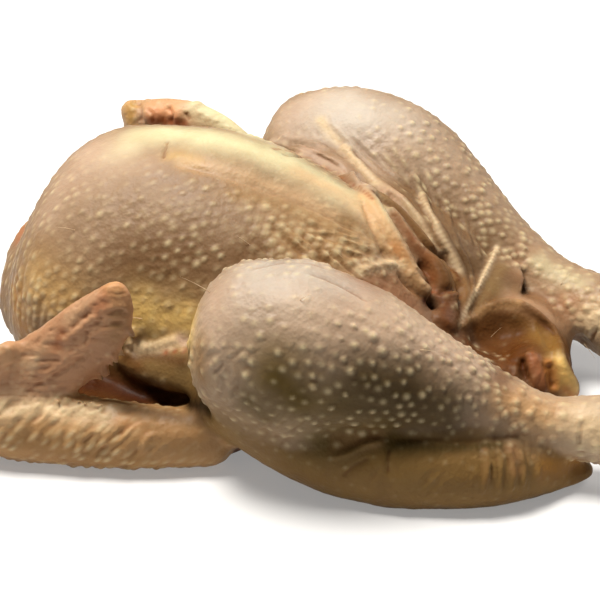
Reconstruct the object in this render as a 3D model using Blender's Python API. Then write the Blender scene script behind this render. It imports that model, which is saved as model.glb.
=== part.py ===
"""A boiling hen: plucked, drawn, lying on its back with the breast up and the legs towards the tail.

The whole bird is one closed skin. Each form (trunk, limbs, folds) is a lofted shell; the shells
overlap, a voxel remesh fuses them, smoothing rounds the joins and a decimation keeps the mesh light.
Lengths in the tables are millimetres, and MM turns them into metres. X runs from the neck to the
tail, Y to the far (left) side of the bird, Z up. The origin is on the table, under the breast.
"""

import math

import bmesh
import bpy
from mathutils import Vector

MM = 0.001

TRUNK_SIDES = 48
LIMB_SIDES = 20
RINGS_BETWEEN = 5
CAP_RINGS = 5
DOME_SWEEP = math.radians(88)
DOME_SHARE = 0.75
UNDERSIDE_POWER = 0.8

VOXEL = 2.0 * MM
SMOOTH_STEPS = 7
SMOOTH_FACTOR = 0.5
KEPT_SHARE = 0.112
FLOOR_DEPTH = 40.0
FLOOR_SIZE = 600.0

SKIN_COLOUR = (0.78, 0.60, 0.42, 1.0)
SKIN_ROUGHNESS = 0.42

# Trunk sections from neck to tail: x, half width, height of the keel, height of the widest line,
# lowest height, and how pointed the breast is across (2 is round, less is a sharper ridge).
TRUNK = (
    (-111, 34.5, 54, 27, 4, 2.0),
    (-98, 51.5, 78.5, 32, -3, 1.95),
    (-80, 60, 93.5, 37, -6, 1.8),
    (-52, 62, 99, 38, -7, 1.6),
    (-22, 61, 98, 38, -7, 1.55),
    (10, 57, 86, 35, -7, 1.5),
    (38, 50, 70, 30, -7, 1.6),
    (58, 42, 47, 22, -7, 1.9),
    (76, 38, 33, 16, -7, 2.0),
    (98, 28, 27, 12, -6, 2.0),
)
TRUNK_NECK_DOME = 10
TRUNK_TAIL_DOME = 12

# Limbs as x, y, z of the centre line, half size across and half size in height.
NEAR_DRUMSTICK = (
    (4, -74, 53, 28, 31),
    (24, -73, 51, 31, 35),
    (42, -70, 50, 28, 30.5),
    (60, -66, 44.5, 24, 25.5),
    (78, -62, 38.5, 19, 19.5),
    (96, -58, 31, 14, 13.5),
    (114, -54, 24, 11, 10.5),
    (131, -51, 23, 12.5, 13),
    (142, -49.5, 23, 13.5, 14),
)
FAR_DRUMSTICK = (
    (-15, 79, 60, 27, 28),
    (4, 78, 61, 30, 32),
    (24, 74, 57, 29.5, 32),
    (42, 67, 50, 26.5, 28),
    (60, 57.5, 43.5, 21.5, 22.5),
    (80, 47.5, 36.5, 16.5, 16.5),
    (100, 40, 30.5, 13.5, 13.5),
    (116, 34, 26.5, 15, 15.5),
    (128, 30, 24, 15, 16),
)

# Each hock ends in two upright knuckles.
KNUCKLES = (
    ((149.5, -44.5, 17, 6, 5.5), (150, -44.5, 30, 6, 6)),
    ((149.5, -55, 15.5, 5.5, 5), (149.5, -54.5, 28, 5.5, 5.5)),
    ((136, 33, 17.5, 6, 6), (136, 33, 32, 6, 6)),
    ((136.5, 23, 16.5, 5.5, 5.5), (136.5, 23.5, 30, 5.5, 5.5)),
)
NEAR_THIGH = (
    (4, -66, 36, 30, 26),
    (30, -66, 20, 30.5, 24),
    (60, -65, 14, 31, 23),
    (90, -59.5, 12, 28, 19),
    (112, -50, 8, 19, 12),
)
FAR_THIGH = (
    (-8, 70, 42, 28, 28),
    (22, 64, 26, 30, 28),
    (52, 56, 16, 28, 22),
    (84, 44, 12, 24, 18),
)
NEAR_WING = (
    ((-74, -44, 26, 15, 16), (-48, -52, 20, 14, 14), (-20, -62, 14, 12, 12), (-4, -70, 11, 11, 11)),
    ((-8, -79, 11, 9.5, 11), (-30, -85, 12, 11.5, 12.5), (-58, -90, 13, 12.5, 14), (-86, -94, 15, 13, 15),
     (-104, -94, 20, 12, 14)),
)
FAR_WING = (
    ((-74, 44, 30, 15, 16), (-48, 58, 26, 14, 14), (-26, 74, 22, 12, 12)),
    ((-26, 78, 22, 11, 12), (-48, 80, 34, 11, 12), (-72, 79, 50, 10, 12), (-92, 76, 65, 9, 10)),
    ((-94, 76, 70, 8, 8), (-78, 76, 70, 6.5, 11), (-60, 74, 69, 6, 11), (-42, 71, 61, 5, 9), (-28, 70, 54, 4, 5)),
)

# The near wing's hand is a blade that stands up: centre, half width along the blade, half thickness.
NEAR_HAND = (
    (-97, -93, 23, 10, 9),
    (-82, -91, 30.5, 12, 8),
    (-67, -88, 40.5, 14.5, 6.5),
    (-54, -85, 52.5, 14, 5.5),
    (-47.5, -83.6, 61, 12, 4.5),
    (-44, -82.6, 67.5, 9, 4),
    (-41.8, -82, 72, 5, 3.5),
)
HAND_ACROSS = (0.69, 0.05, -0.72)
NEAR_WING_WEB = ((-84, -76, 22, 18, 5), (-60, -73, 17, 20, 5), (-34, -72, 13, 15, 5), (-14, -73, 11, 9, 5))
FAR_WING_WEB = ((-78, 64, 44, 18, 5), (-56, 70, 34, 16, 5), (-36, 74, 26, 10, 5))
NEAR_THUMB = ((-98, -94, 32, 6, 6), (-94, -96, 42, 5, 5), (-88, -96, 48, 3.5, 3.5))

# The rump's dome, the tail lobe at its end and the loose corner of back skin beside it.
RUMP = ((70, 14, 12, 30, 20), (88, 10, 16, 29, 23), (102, 2, 15, 21, 17))
TAIL_LOBE = ((94, -3, 19, 17, 13), (105, -7, 17, 13, 13), (110, -9, 14, 9, 9))
BACK_SKIN_CORNER = ((98, -50, 8, 20, 9), (114, -50, 6, 14, 7), (124, -49, 4.5, 8, 4.5), (130, -48, 3.5, 4, 3.5))

# The belly skin ends in rolled folds, and a web of stretched skin runs from it to the far leg.
BELLY_ROLL = ((29, 11, 73, 4, 4), (37, 5, 68, 5, 4.5), (44, 3, 62, 5.5, 4.5), (49, 0, 55, 5, 5), (57, -3, 43, 4.5, 5))
FLANK_ROLL = ((20, -30, 59, 3.5, 4), (32, -26, 56, 4, 4.5), (41, -16, 58, 4, 4.5), (47, -4, 57, 4, 4))
FAR_ROLL = ((14, 24, 75, 4, 4), (30, 18, 71, 5, 5), (42, 14, 64, 5.5, 5), (52, 12, 54, 6, 5))
BELLY_END = ((48, 8, 44, 14, 12), (57, 7, 40, 12, 12), (62, 5, 28, 13, 12), (66, 0, 18, 12, 12))
FAR_WEB = (
    ((-8, 50, 66, 16, 12), (14, 44, 64, 16, 11), (36, 36, 56, 15, 11), (56, 30, 44, 13, 13), (70, 26, 30, 12, 14)),
    ((60, 48, 42, 17, 8), (66, 34, 37, 13, 6), (69, 19, 31, 8, 5), (70, 7, 27, 4, 4)),
)
NEAR_WEB = ((8, -44, 58, 12, 12), (30, -38, 50, 12, 12), (52, -34, 38, 12, 12), (72, -32, 24, 12, 12))
FLANK_FOLD = ((-58, -54, 31, 6, 4), (-40, -58, 34, 6, 4), (-20, -57, 38, 6, 4.5), (-4, -54, 38, 8, 6))
NEAR_SIDE = ((-52, -44, 18, 9, 12), (-34, -49, 20, 11, 14), (-14, -52, 18, 12, 16), (6, -54, 16, 12, 14))

# The neck end: a rolled collar of skin round a recess, with the neck's stump in it.
COLLAR_CENTRE = (-110, 7, 34)
COLLAR_HALF_WIDTH = 23
COLLAR_HALF_HEIGHT = 20
COLLAR_THICKNESS = 6
COLLAR_POINTS = 20
COLLAR_LEAN = 0.35
NECK_STUMP = ((-104, 6, 30, 14, 13), (-114, 6, 29, 12, 11), (-119, 6, 29, 10.5, 9.5))


def through(rows, steps):
    """Rows of a table, with steps - 1 smooth rows put in between each pair (a Catmull-Rom curve)."""
    last = len(rows) - 1
    dense = []
    for i in range(last):
        before, a = rows[max(i - 1, 0)], rows[i]
        b, after = rows[i + 1], rows[min(i + 2, last)]
        for k in range(steps):
            t = k / steps
            dense.append([
                0.5 * (2 * q + (r - p) * t + (2 * p - 5 * q + 4 * r - s) * t * t + (3 * q - p - 3 * r + s) * t ** 3)
                for p, q, r, s in zip(before, a, b, after)
            ])
    dense.append(list(rows[last]))
    return dense


def skin_rings(shape, rings, closed_loop=False):
    """Joins rings of points into a closed shell: side faces, and a flat cap on each end."""
    loops = [[shape.verts.new(Vector(p) * MM) for p in ring] for ring in rings]
    count = len(loops[0])
    pairs = list(zip(loops, loops[1:]))
    if closed_loop:
        pairs.append((loops[-1], loops[0]))
    for low, high in pairs:
        for i in range(count):
            j = (i + 1) % count
            shape.faces.new((low[i], low[j], high[j], high[i]))
    if not closed_loop:
        shape.faces.new(loops[0][::-1])
        shape.faces.new(loops[-1])


def dome(ring, middle, out, reach):
    """Rings that close off an end: the ring shrinks towards middle as it moves reach along out."""
    made = []
    for k in range(1, CAP_RINGS + 1):
        angle = DOME_SWEEP * k / CAP_RINGS
        centre = middle + out * reach * math.sin(angle)
        made.append([centre + (p - middle) * math.cos(angle) for p in ring])
    return made


def add_limb(shape, rows, across=(0, 1, 0)):
    """A tapered limb along a smooth centre line, oval in section, with domed ends."""
    rows = through(rows, RINGS_BETWEEN)
    centres = [Vector(row[:3]) for row in rows]
    rings = []
    for i, row in enumerate(rows):
        along = (centres[min(i + 1, len(rows) - 1)] - centres[max(i - 1, 0)]).normalized()
        side = Vector(across)
        side = (side - side.dot(along) * along).normalized()
        top = along.cross(side)
        ring = []
        for k in range(LIMB_SIDES):
            angle = 2 * math.pi * k / LIMB_SIDES
            ring.append(centres[i] + side * row[3] * math.cos(angle) + top * row[4] * math.sin(angle))
        rings.append(ring)
    head_out = (centres[0] - centres[1]).normalized()
    tail_out = (centres[-1] - centres[-2]).normalized()
    head = dome(rings[0], centres[0], head_out, DOME_SHARE * min(rows[0][3:5]))
    tail = dome(rings[-1], centres[-1], tail_out, DOME_SHARE * min(rows[-1][3:5]))
    skin_rings(shape, head[::-1] + rings + tail)


def trunk_ring(x, half_width, keel, widest, low, point):
    """One section of the trunk: a pointed arch above its widest line and a flattened oval below it."""
    ring = []
    for k in range(TRUNK_SIDES):
        angle = 2 * math.pi * k / TRUNK_SIDES
        c, s = math.cos(angle), math.sin(angle)
        if s >= 0:
            y = half_width * math.copysign(abs(c) ** (2 / point), c)
            z = widest + (keel - widest) * s
        else:
            y = half_width * math.copysign(abs(c) ** UNDERSIDE_POWER, c)
            z = widest + (widest - low) * s
        ring.append(Vector((x, y, z)))
    return ring


def add_trunk(shape):
    """The trunk, closed by a shallow dome at the neck and another at the tail."""
    rings = [trunk_ring(*row) for row in through(TRUNK, RINGS_BETWEEN)]
    middles = [sum(rings[i], Vector()) / TRUNK_SIDES for i in (0, -1)]
    neck = dome(rings[0], middles[0], Vector((-1, 0, 0)), TRUNK_NECK_DOME)
    tail = dome(rings[-1], middles[1], Vector((1, 0, 0)), TRUNK_TAIL_DOME)
    skin_rings(shape, neck[::-1] + rings + tail)


def add_collar(shape):
    """The ring of skin round the neck opening, leaning back at its top."""
    middle = Vector(COLLAR_CENTRE)
    rings = []
    for i in range(COLLAR_POINTS):
        turn = 2 * math.pi * i / COLLAR_POINTS
        out = Vector((0, math.cos(turn), math.sin(turn)))
        centre = middle + Vector((
            COLLAR_LEAN * COLLAR_HALF_HEIGHT * math.sin(turn),
            COLLAR_HALF_WIDTH * math.cos(turn),
            COLLAR_HALF_HEIGHT * math.sin(turn),
        ))
        ring = []
        for k in range(LIMB_SIDES):
            angle = 2 * math.pi * k / LIMB_SIDES
            forward = Vector((math.sin(angle), 0, 0))
            ring.append(centre + (out * math.cos(angle) + forward) * COLLAR_THICKNESS)
        rings.append(ring)
    skin_rings(shape, rings, closed_loop=True)


def skin_material():
    material = bpy.data.materials.new("raw_skin")
    material.use_nodes = True
    shader = material.node_tree.nodes["Principled BSDF"]
    shader.inputs["Base Color"].default_value = SKIN_COLOUR
    shader.inputs["Roughness"].default_value = SKIN_ROUGHNESS
    shader.inputs["Metallic"].default_value = 0.0
    return material


def floor_cutter():
    """A block under the table's surface, which cuts the flat that the bird rests on."""
    bpy.ops.mesh.primitive_cube_add(size=1, location=(0, 0, -FLOOR_DEPTH / 2 * MM))
    block = bpy.context.object
    block.name = "floor_cutter"
    block.scale = (FLOOR_SIZE * MM, FLOOR_SIZE * MM, FLOOR_DEPTH * MM)
    block.hide_render = True
    block.display_type = "WIRE"
    return block


def build_hen():
    shape = bmesh.new()
    add_trunk(shape)
    add_collar(shape)
    limbs = [NEAR_DRUMSTICK, FAR_DRUMSTICK, *KNUCKLES, NEAR_THIGH, FAR_THIGH, *NEAR_WING, *FAR_WING, NEAR_THUMB]
    limbs += [NEAR_WING_WEB, FAR_WING_WEB]
    limbs += [RUMP, TAIL_LOBE, BACK_SKIN_CORNER, BELLY_ROLL, FLANK_ROLL, BELLY_END, *FAR_WEB, NEAR_WEB]
    limbs += [FLANK_FOLD, NEAR_SIDE, FAR_ROLL, NECK_STUMP]
    for rows in limbs:
        add_limb(shape, rows)
    add_limb(shape, NEAR_HAND, across=HAND_ACROSS)
    bmesh.ops.recalc_face_normals(shape, faces=shape.faces)
    mesh = bpy.data.meshes.new("hen")
    shape.to_mesh(mesh)
    shape.free()
    mesh.materials.append(skin_material())
    hen = bpy.data.objects.new("hen", mesh)
    bpy.context.collection.objects.link(hen)

    fuse = hen.modifiers.new("fuse", "REMESH")
    fuse.mode = "VOXEL"
    fuse.voxel_size = VOXEL
    fuse.use_smooth_shade = True
    soften = hen.modifiers.new("soften", "SMOOTH")
    soften.factor = SMOOTH_FACTOR
    soften.iterations = SMOOTH_STEPS
    lighten = hen.modifiers.new("lighten", "DECIMATE")
    lighten.ratio = KEPT_SHARE
    flatten = hen.modifiers.new("flatten", "BOOLEAN")
    flatten.operation = "DIFFERENCE"
    flatten.solver = "EXACT"
    flatten.object = floor_cutter()
    return hen


def main():
    for old in list(bpy.data.objects):
        bpy.data.objects.remove(old)
    build_hen()


main()
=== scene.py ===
"""A boiling hen on a pale floor, lit softly from above.

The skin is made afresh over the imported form: the same lofted shells are fused finely, folds and
lumps are laid on them, and creases, wrinkles and feather follicles are raised from the surface.
Lengths are millimetres until a piece is made, and MM turns them into metres. X runs from the neck
to the tail, Y to the far side, Z up. Details are placed by pixels of the photo, which are cast
along the camera's view on to the form, so that each one sits on the skin from every side.
"""
import itertools
import math

import bmesh
import bpy
import numpy as np
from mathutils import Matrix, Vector
from mathutils.bvhtree import BVHTree
from mathutils.kdtree import KDTree


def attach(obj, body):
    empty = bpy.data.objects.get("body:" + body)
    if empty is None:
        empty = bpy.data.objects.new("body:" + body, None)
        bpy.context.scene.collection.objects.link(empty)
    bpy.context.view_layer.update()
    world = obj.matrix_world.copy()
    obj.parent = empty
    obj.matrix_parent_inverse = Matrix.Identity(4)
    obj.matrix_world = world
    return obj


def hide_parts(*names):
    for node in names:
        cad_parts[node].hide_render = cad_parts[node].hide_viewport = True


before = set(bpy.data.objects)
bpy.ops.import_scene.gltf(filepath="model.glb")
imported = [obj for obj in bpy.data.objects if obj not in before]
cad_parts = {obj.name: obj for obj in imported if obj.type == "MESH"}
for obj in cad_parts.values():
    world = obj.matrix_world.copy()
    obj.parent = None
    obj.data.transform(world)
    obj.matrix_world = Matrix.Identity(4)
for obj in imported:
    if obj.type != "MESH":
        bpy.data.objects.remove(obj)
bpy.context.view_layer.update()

MM = 0.001

# The camera: the photo's size and the focal length in pixels, then where the camera looks.
PHOTO_WIDTH = 600
PHOTO_HEIGHT = 599
FOCAL_PIXELS = 1950.0
VIEW_TURN = math.radians(16)
VIEW_TILT = math.radians(28)
VIEW_DISTANCE = 790.0
VIEW_TARGET = np.array((3.0, 0.0, 32.0))
SENSOR_WIDTH = 36.0

# How finely the form is made.
TRUNK_SIDES = 48
LIMB_SIDES = 20
RIBBON_SIDES = 12
FIN_STEPS = 24
RINGS_BETWEEN = 5
CAP_RINGS = 5
DOME_SWEEP = math.radians(88)
DOME_SHARE = 0.75
UNDERSIDE_POWER = 0.8
FORM_VOXEL = 1.5
SKIN_VOXEL = 0.8
FORM_SMOOTHING = 14
SKIN_SMOOTHING = 6

# Trunk sections: x, half width, heights of the keel, the widest line and the lowest line, and how
# pointed the arch over the keel is.
TRUNK = (
    (-111, 34.5, 54, 27, 4, 2.0),
    (-98, 51.5, 78.5, 32, -3, 1.95),
    (-80, 60, 93.5, 37, -6, 1.8),
    (-52, 62, 99, 38, -7, 1.6),
    (-22, 61, 98, 38, -7, 1.55),
    (10, 57, 86, 35, -7, 1.5),
    (38, 50, 70, 30, -7, 1.6),
    (58, 42, 47, 22, -7, 1.9),
    (76, 38, 33, 16, -7, 2.0),
    (98, 28, 27, 12, -6, 2.0),
)
TRUNK_NECK_DOME = 10
TRUNK_TAIL_DOME = 12

# Limbs as x, y, z of the centre line, half size across and half size in height.
NEAR_DRUMSTICK = (
    (4, -74, 53, 28, 31),
    (24, -73, 51, 31, 35),
    (42, -70, 49.5, 28, 29),
    (60, -66, 43, 24, 23),
    (78, -62, 36.5, 19, 17.5),
    (96, -58, 30, 14, 12.5),
    (114, -54, 24, 11, 10.5),
    (131, -51, 23, 12.5, 13),
    (142, -49.5, 23, 13.5, 14),
)
FAR_DRUMSTICK = (
    (-15, 79, 60, 27, 28),
    (4, 78, 61, 30, 32),
    (24, 74, 57, 29.5, 32),
    (42, 67, 50, 26.5, 28),
    (60, 57.5, 43.5, 21.5, 22.5),
    (80, 47.5, 36.5, 16.5, 16.5),
    (100, 40, 30.5, 13.5, 13.5),
    (116, 34, 26.5, 15, 15.5),
    (128, 30, 24, 15, 16),
)
# Each hock ends in two upright knuckles.
KNUCKLES = (
    ((149.5, -44.5, 17, 6, 5.5), (150, -44.5, 30, 6, 6)),
    ((149.5, -55, 15.5, 5.5, 5), (149.5, -54.5, 28, 5.5, 5.5)),
    ((136, 33, 17.5, 6, 6), (136, 33, 32, 6, 6)),
    ((136.5, 23, 16.5, 5.5, 5.5), (136.5, 23.5, 30, 5.5, 5.5)),
)
NEAR_THIGH = (
    (4, -66, 36, 30, 26),
    (30, -66, 20, 30.5, 24),
    (60, -65, 14, 31, 23),
    (90, -59.5, 12, 28, 19),
    (112, -50, 8, 19, 12),
)
FAR_THIGH = (
    (-8, 70, 42, 28, 28),
    (22, 64, 26, 30, 28),
    (52, 56, 16, 28, 22),
    (84, 44, 12, 24, 18),
)
NEAR_UPPER_WING = (
    (-74, -44, 26, 15, 16),
    (-48, -52, 20, 14, 14),
    (-20, -62, 14, 12, 12),
    (-4, -70, 11, 11, 11),
)
NEAR_FOREARM = (
    (-8, -79, 11, 9.5, 11),
    (-30, -85, 12, 11.5, 12.5),
    (-58, -90, 13, 12.5, 14),
    (-86, -94, 15, 13, 15),
    (-104, -94, 20, 12, 14),
)
FAR_UPPER_WING = ((-74, 44, 30, 15, 16), (-48, 58, 26, 14, 14), (-26, 74, 22, 12, 12))
FAR_FOREARM = ((-26, 78, 22, 11, 12), (-48, 80, 34, 11, 12), (-72, 79, 50, 10, 12), (-92, 76, 65, 9, 10))
FAR_HAND = (
    (-94, 76, 70, 8, 8),
    (-78, 76, 70, 6.5, 11),
    (-60, 74, 69, 6, 11),
    (-42, 71, 61, 5, 9),
    (-28, 70, 54, 4, 5),
)
NEAR_HAND = (
    (-97, -93, 23, 10, 9),
    (-82, -91, 30.5, 12, 8),
    (-67, -88, 40.5, 14.5, 6.5),
    (-54, -85, 52.5, 14, 5.5),
    (-47.5, -83.6, 61, 12, 4.5),
    (-44, -82.6, 67.5, 9, 4),
    (-42.6, -82, 73, 5, 3.5),
)

# The way that the hand's width runs.
HAND_ACROSS = (0.69, 0.05, -0.72)
NEAR_WING_WEB = (
    (-84, -76, 22, 18, 5),
    (-60, -73, 17, 20, 5),
    (-34, -72, 13, 15, 5),
    (-14, -73, 11, 9, 5),
)
FAR_WING_WEB = ((-78, 64, 44, 18, 5), (-56, 70, 34, 16, 5), (-36, 74, 26, 10, 5))
NEAR_THUMB = ((-94, -95, 34, 6, 6), (-86, -96, 42.5, 5.5, 5), (-81, -96, 49.5, 4, 3.5))
RUMP = ((70, 14, 12, 30, 20), (88, 10, 16, 28, 22.5), (99, 0, 15, 18, 16))
TAIL_LOBE = ((94, -3, 19, 17, 13), (105, -7, 17, 13, 13), (110, -9, 14, 9, 9))
BACK_SKIN_CORNER = (
    (98, -53, 8, 23, 9),
    (114, -53, 6, 17, 7),
    (124, -51, 4.5, 10, 4.5),
    (130, -49, 3.5, 5, 3.5),
)
FAR_ROLL = ((14, 24, 75, 4, 4), (30, 18, 71, 5, 5), (42, 14, 64, 5.5, 5), (52, 12, 54, 6, 5))
BELLY_END = ((48, 8, 44, 14, 12), (57, 7, 40, 12, 12), (62, 5, 28, 13, 12), (66, 0, 18, 12, 12))
FAR_WEB = (
    (-8, 50, 66, 16, 12),
    (14, 44, 64, 16, 11),
    (36, 36, 56, 15, 11),
    (56, 30, 44, 13, 13),
    (70, 26, 30, 12, 14),
)
WEB_SHEET = ((60, 48, 42, 17, 8), (66, 34, 37, 13, 6), (69, 19, 31, 8, 5), (70, 7, 27, 4, 4))
NEAR_WEB = ((8, -44, 58, 12, 12), (30, -38, 50, 12, 12), (52, -34, 38, 12, 12), (72, -32, 24, 12, 12))
FLANK_FOLD = ((-58, -54, 31, 6, 4), (-40, -58, 34, 6, 4), (-20, -57, 38, 6, 4.5), (-4, -54, 38, 8, 6))
FLANK_SHEET = (
    (-52, -64.5, 30.5, 2, 2),
    (-47.5, -66, 31.5, 3.8, 2.4),
    (-41.5, -67, 29.8, 5.4, 2.8),
    (-33, -68, 30.8, 6.8, 3.2),
    (-24.6, -69, 31.8, 9, 3.6),
    (-16, -70.5, 32, 10.5, 4),
)
SHEET_ACROSS = (-0.13, 0.45, 0.88)
NEAR_SIDE = ((-52, -44, 18, 9, 12), (-34, -49, 20, 11, 14), (-14, -52, 18, 12, 16), (6, -54, 16, 12, 14))
# The collar of skin round the neck stump.
COLLAR_CENTRE = (-110, 7, 34)
COLLAR_HALF_WIDTH = 23
COLLAR_HALF_HEIGHT = 20
COLLAR_THICKNESS = 6
COLLAR_POINTS = 20
COLLAR_LEAN = 0.35
NECK_STUMP = ((-104, 6, 30, 14, 13), (-114, 6, 29, 12, 11), (-119, 6, 29, 10.5, 9.5))

# Folds laid on the form: the pixels they run through, half width and half thickness at the start
# and at the end, and how far the middle of the fold stands off the skin.
LAID_FOLDS = (
    (
        (
            (364, 192), (373, 208), (382, 222), (391, 236),
            (399, 250), (406, 263), (411, 276), (418, 286),
            (424, 292),
        ),
        4.2, 2.4, 3.0, 2.4, 1.3,
    ),
    (
        ((392, 212), (401, 225), (411, 241), (421, 253), (432, 262), (440, 272), (443, 285)),
        1.6, 1.8, 3.6, 2.8, 0.8,
    ),
    (
        (
            (346, 149), (360, 167), (374, 180), (388, 190),
            (402, 201), (414, 214), (424, 227), (433, 240),
            (441, 251),
        ),
        1.5, 1.6, 1.7, 1.6, 0.9,
    ),
    (
        (
            (412, 178), (421, 196), (427, 210), (435, 223),
            (442, 236), (449, 249), (457, 263), (463, 280),
            (464, 300), (461, 318),
        ),
        1.2, 1.5, 3.2, 1.4, 0.9,
    ),
    (((446, 297), (448, 310), (444, 324)), 6.5, 3.6, 6.0, 3.0, 0.3),
    (
        ((272, 143), (283, 145), (303, 151), (323, 158), (341, 169), (355, 181), (374, 194)),
        1.6, 1.5, 1.9, 1.6, 0.8,
    ),
    (((284, 137), (308, 143), (326, 152), (345, 167), (364, 180), (385, 194)), 1.4, 1.3, 2.2, 1.4, 0.5),
    (
        ((462, 327), (474, 317), (486, 309), (501, 303), (518, 303), (534, 312), (548, 324)),
        1.4, 1.3, 1.6, 1.2, 0.9,
    ),
    (((531, 354), (534, 364), (537, 376), (541, 388)), 2.6, 1.4, 3.6, 1.8, 0.9),
    (((551, 328), (557, 343), (559, 358), (564, 371), (570, 383), (571, 391)), 2.2, 1.8, 3.2, 2.6, 0.8),
)

# Lumps fused into the form: centre, half sizes and turn.
LUMPS = (
    ((-95, 75, 72), (5.5, 5.0, 6.5), 0.0),
    ((-84, 74, 74), (7.5, 6.5, 5.0), 0.2),
    ((-73, 74, 75), (6.5, 5.5, 4.5), -0.1),
    ((-65, 75, 78.5), (3.2, 3.0, 3.0), 0.0),
)

# Rows of little fingers of skin: pixels, spacing, length, radius, and the way that they lean. Each
# finger has a root under the skin, a middle and a tip, at these shares of its length and radius.
SPUR_STEM = np.array((-0.25, 0.35, 1.0))
SPUR_TAPER = np.array((1.2, 1.0, 0.75))
SPUR_ROWS = (
    (((52, 399), (74, 403), (92, 407), (108, 406)), 2.0, 1.5, 0.75, (0.6, -0.1, 0.4)),
    (
        ((128, 330), (125, 343), (116, 353), (108, 362), (100, 372), (94, 382)),
        2.3, 1.9, 1.1, (0.5, 0.0, -0.6),
    ),
)

# Taut folds: the pixels at their ends, half width and half height of the fin.
TAUT_FOLDS = (
    ((498, 246), (459, 327), 0.8, 1.2),
    ((506, 256), (476, 321), 9.0, 1.6),
    ((513, 264), (514, 296), 4.5, 1.5),
)

# Stray fine hairs: the pixel of the root, how far the hair reaches from it and its sag.
HAIRS = (
    ((210, 292), (-9, -3, 7), 1.5),
    ((143, 319), (-9, -2, 2), 1.0),
    ((492, 336), (4, -2, 6), 0.6),
    ((346, 262), (-4, -1, 5), 0.8),
    ((300, 300), (5, -3, 5), 1.2),
    ((250, 245), (-5, -2, 5), 1.0),
    ((420, 350), (6, -4, 3), 1.0),
    ((560, 285), (4, 2, 6), 0.8),
    ((585, 345), (5, -2, -3), 0.8),
    ((75, 230), (-6, -4, 3), 1.0),
)
HAIR_RADIUS = 0.11
HAIR_ROOT = 0.08
HAIR_STEPS = 14
HAIR_TOP = (0.1, -0.5, 0.85)

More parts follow.
